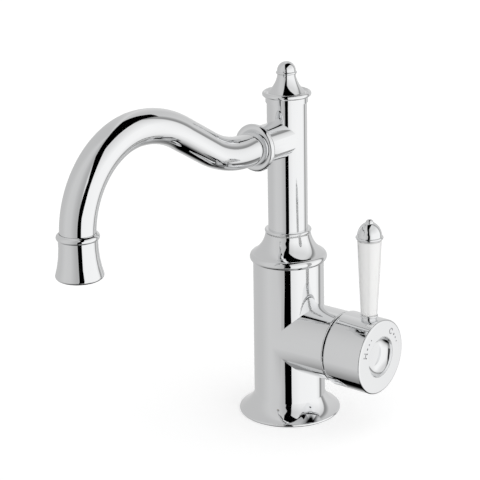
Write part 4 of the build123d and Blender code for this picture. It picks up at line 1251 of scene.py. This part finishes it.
    def lever(self) -> None:
        """Builds the lever's neck and its porcelain sleeve."""
        self.make("lever_foot", "lever_neck", [
            (self.stud_r, self.neck_seat_z),
            (self.neck_r, self.neck_seat_z),
            (self.neck_r, 2 * self.neck_bead[1] - self.neck_top_z),
            Arc(self.neck_bead, (self.neck_r, self.neck_top_z)),
            (self.stud_r, self.neck_top_z),
        ], self.lever_at, facets=SMALL_FACETS)
        self.make("sleeve", "porcelain_sleeve", [
            (self.stud_r, self.sleeve_low_z),
            (self.sleeve_low_r, self.sleeve_low_z),
            Arc(self.sleeve_mid, (self.sleeve_top_r, self.sleeve_top_z)),
            (self.stud_r, self.sleeve_top_z),
        ], self.lever_at, facets=SMALL_FACETS, slot="white_porcelain", edge=self.sleeve_edge)

    def tip(self) -> None:
        """Builds the lever's tip: rim, bead, dome and small ball."""
        bead_r, bead_z = self.tip_bead
        ball_z = self.tip_top_z - self.ball_r
        seam_z = self.tip_dome_end[1]
        seam_r = sqrt(self.ball_r ** 2 - (seam_z - ball_z) ** 2)
        self.make("tip", "lever_tip", [
            (0, self.tip_foot_z),
            (self.tip_rim_r, self.tip_foot_z),
            (self.tip_rim_r, bead_z - self.tip_bead_thick),
            (self.tip_dome_r, bead_z - self.tip_bead_thick),
            Arc((bead_r, bead_z), (self.tip_dome_r, bead_z + self.tip_bead_thick)),
            Arc(self.tip_dome_mid, self.tip_dome_end),
            (seam_r, seam_z),
            *SpoutPart.ball_top(self.ball_r, ball_z),
        ], self.lever_at, facets=SMALL_FACETS)

    def build(self) -> None:
        """Builds every piece that the hand turns."""
        self.cap()
        self.index()
        self.washers()
        self.lever()
        self.tip()


@dataclass(frozen=True)
class Wall:
    """One wall of the paper tent round the mixer, lit softly and unevenly as paper is.

    Args:
        name: Its name.
        sector: Where it begins and ends, in degrees to the right of the camera as seen from the mixer.
        across: Its brightness at some of those degrees, where white paper in plain light is 1.
        up: The share of it that is left at some heights, in degrees above the mixer's level.
    """

    name: str
    sector: Point
    across: tuple[Point, ...]
    up: tuple[Point, ...]

    def build(self, turned: float, radius: float, light: float) -> bpy.types.Material:
        """Makes the wall's material.

        Args:
            turned: How far the tent is turned, in degrees.
            radius: The tent's radius in metres.
            light: Brightness of white paper.

        Returns:
            The new material.
        """
        shader = Shader(self.name)
        place = shader.node("ShaderNodeMapping", Rotation=(0, 0, radians(-turned)),
                            Vector=shader.node("ShaderNodeTexCoord", output="Object"))
        x, y, z = (shader.node("ShaderNodeSeparateXYZ", output=axis, Vector=place) for axis in "XYZ")
        turn = x.maths("ARCTAN2", x, 0 - y) * (0.5 / pi) + 0.5
        height = z.maths("ARCSINE", z * (1 / radius), 0.0) * (1 / pi) + 0.5
        across = self.ramp(shader, self.across, 360, turn)
        up = self.ramp(shader, self.up, 180, height)
        shader.surface(
            Base_Color=(0, 0, 0, 1),
            Specular_IOR_Level=0.0,
            Emission_Color=across * up * light,
            Emission_Strength=1.0,
        )
        return shader.material

    @staticmethod
    def ramp(shader: Shader, levels: Sequence[Point], span: float, at: Wire) -> Wire:
        """Gives the level at a place from 0 to 1 of a span in degrees, about the span's middle."""
        stops = [(degree / span + 0.5, level) for degree, level in levels]
        return shader.node("ShaderNodeValToRGB", {"stops": stops}, Fac=at)


@dataclass
class Studio:
    """Camera, floor, world, and the tent and black band that show in the polished metal."""

    camera_aim: Place = (9.2, -59.3, 132.2)
    camera_distance: float = 1000.0
    camera_azimuth: float = 39.13
    camera_pitch: float = 18.52
    camera_roll: float = -1.15
    camera_lens: float = 125.87
    camera_sight: float = 30000.0
    sensor: float = 36.0
    light: float = 0.78
    light_lean: float = 0.65
    light_azimuth: float = 40.0
    paper: float = 0.85
    paper_glow: float = 0.38
    paper_haze: float = 0.8
    paper_size: float = 8000.0
    tent_r: float = 2500.0
    tent_step: float = 2.0
    tent_light: float = 1.03
    walls: tuple[Wall, ...] = (
        Wall("far_left_wall", (-180, -116),
             ((-180, 0.73), (-165, 0.6), (-150, 0.56), (-116, 0.56)),
             ((-56, 0.0), (-50, 0.3), (-42, 0.8), (-26, 1.0))),
        Wall("left_wall", (-116, 4),
             ((-116, 0.56), (-100, 0.57), (-70, 0.64), (-40, 0.62), (-10, 0.46)),
             ((-68, 0.0), (-56, 0.5), (-42, 0.8), (-26, 1.0))),
        Wall("right_wall", (4, 112),
             ((4, 0.85), (30, 0.97), (95, 1.0), (108, 0.88), (112, 0.75)),
             ((-68, 0.0), (-58, 0.5), (-44, 0.85), (-30, 1.0), (15, 1.0), (50, 0.75))),
        Wall("back_wall", (112, 180),
             ((112, 0.5), (114, 0.3), (119, 0.33), (128, 0.68), (155, 0.65), (180, 0.73)),
             ((-60, 0.0), (-54, 0.25), (-40, 0.5), (-20, 0.95), (5, 1.0), (60, 0.85))),
    )
    band: tuple[tuple[float, float, float, float], ...] = (
        (420, -210, -130, 36),
        (530, 170, -105, 45),
        (350, 220, -100, 14),
        (300, 290, -60, 14),
        (240, 410, -100, 6),
        (-10, 470, -60, 160),
        (-140, 475, 120, 275),
    )

    def camera(self) -> None:
        """Puts the camera where the photograph was taken from."""
        bpy.ops.object.camera_add()
        camera = bpy.context.object
        camera.data.lens = self.camera_lens
        camera.data.sensor_width = self.sensor
        camera.data.clip_end = self.camera_sight * MM
        turn = (
            Matrix.Rotation(radians(self.camera_azimuth), 4, "Z")
            @ Matrix.Rotation(radians(90 - self.camera_pitch), 4, "X")
            @ Matrix.Rotation(radians(self.camera_roll), 4, "Z")
        )
        back = turn @ Vector((0, 0, 1, 0))
        place = Vector(self.camera_aim) * MM + back.xyz * self.camera_distance * MM
        camera.matrix_world = Matrix.Translation(place) @ turn
        bpy.context.scene.camera = camera

    def world(self) -> None:
        """Makes a white world that lights at a plain level, a little more from the right."""
        world = bpy.data.worlds.new("white")
        bpy.context.scene.world = world
        world.use_nodes = True
        sheet = NodeSheet(world.node_tree)
        seen = sheet.seen()
        turn = radians(self.camera_azimuth + self.light_azimuth)
        direction = sheet.node("ShaderNodeTexCoord", output="Generated")
        settings = {"operation": "DOT_PRODUCT"}
        brighter = sheet.node("ShaderNodeVectorMath", settings, "Value", Vector=direction)
        brighter.socket.node.inputs[1].default_value = (sin(turn), -cos(turn), 0)
        falling = self.light + brighter * self.light_lean
        sheet.feed(world.node_tree.nodes["Background"], {
            "Color": (1, 1, 1, 1),
            "Strength": seen + (1 - seen) * falling,
        })

    def floor(self) -> None:
        """Lays a sheet of white paper that keeps the mixer's shadow."""
        bpy.ops.mesh.primitive_plane_add(size=self.paper_size * MM, location=(0, 0, 0))
        floor = bpy.context.object
        floor.name = "floor"
        shader = Shader("floor_paper")
        glow = (self.paper_glow,) * 3
        shader.surface(
            Base_Color=(self.paper, self.paper, self.paper, 1),
            Roughness=self.paper_haze,
            Emission_Color=shader.blend(shader.seen(), (0, 0, 0), glow),
            Emission_Strength=1.0,
        )
        floor.data.materials.append(shader.material)
        floor.visible_glossy = False

    def hide_from_camera(self, obj: bpy.types.Object) -> None:
        """Lets a stage piece show in gloss alone."""
        obj.visible_camera = False
        obj.visible_diffuse = False
        obj.visible_shadow = False

    def tent(self) -> None:
        """Builds the tent from a ball, wall by wall."""
        Bench.free()
        bpy.ops.mesh.primitive_uv_sphere_add(
            segments=round(360 / self.tent_step), ring_count=round(180 / self.tent_step),
            radius=self.tent_r * MM, rotation=(0, 0, radians(self.camera_azimuth)),
        )
        tent = bpy.context.object
        tent.name = "tent"
        for wall in self.walls:
            tent.data.materials.append(wall.build(self.camera_azimuth, self.tent_r * MM, self.tent_light))
        for face in tent.data.polygons:
            x, y, _ = face.center
            azimuth = degrees(atan2(x, -y))
            holding = [wall.sector[0] <= azimuth < wall.sector[1] for wall in self.walls]
            face.material_index = holding.index(True)
        bpy.ops.object.transform_apply()
        self.hide_from_camera(tent)

    def black_band(self) -> None:
        """Builds the folded black band: the gap in the tent before the mixer and over it."""
        Bench.free()
        bpy.ops.mesh.primitive_grid_add(x_subdivisions=1, y_subdivisions=len(self.band) - 1, size=1)
        band = bpy.context.object
        band.name = "black_band"
        for row, (away, height, left, right) in enumerate(self.band):
            for vertex, across in zip(band.data.vertices[2 * row:2 * row + 2], (left, right)):
                vertex.co = Vector((across, -away, height)) * MM
        band.data.transform(Matrix.Rotation(radians(self.camera_azimuth), 4, "Z"))
        shader = Shader("black_paper")
        shader.surface(Base_Color=(0, 0, 0, 1), Specular_IOR_Level=0.0)
        band.data.materials.append(shader.material)
        self.hide_from_camera(band)

    def build(self) -> None:
        """Sets the whole studio up."""
        bpy.context.scene.view_settings.view_transform = "Standard"
        self.camera()
        self.world()
        self.floor()
        self.tent()
        self.black_band()


def dress_cad_nodes(finishes: dict[str, bpy.types.Material]) -> None:
    """Gives every node that keeps its own solid the finish of its slot.

    Args:
        finishes: The materials, by slot.
    """
    for part in frame["record"]["subparts"]:
        obj = frame["nodes"][part["node"]]
        obj.data.materials.clear()
        obj.data.materials.append(finishes[part["material_slot"]])


def main() -> None:
    """Builds the mixer and its studio, piece by piece."""
    logging.basicConfig(level=logging.INFO, format="%(message)s")
    finishes = {finish.slot: finish.build() for finish in FINISHES}
    dress_cad_nodes(finishes)
    for part in (BasePart(finishes), SpoutPart(finishes), HandlePart(finishes)):
        part.build()
    Studio().build()


if __name__ == "__main__":
    main()
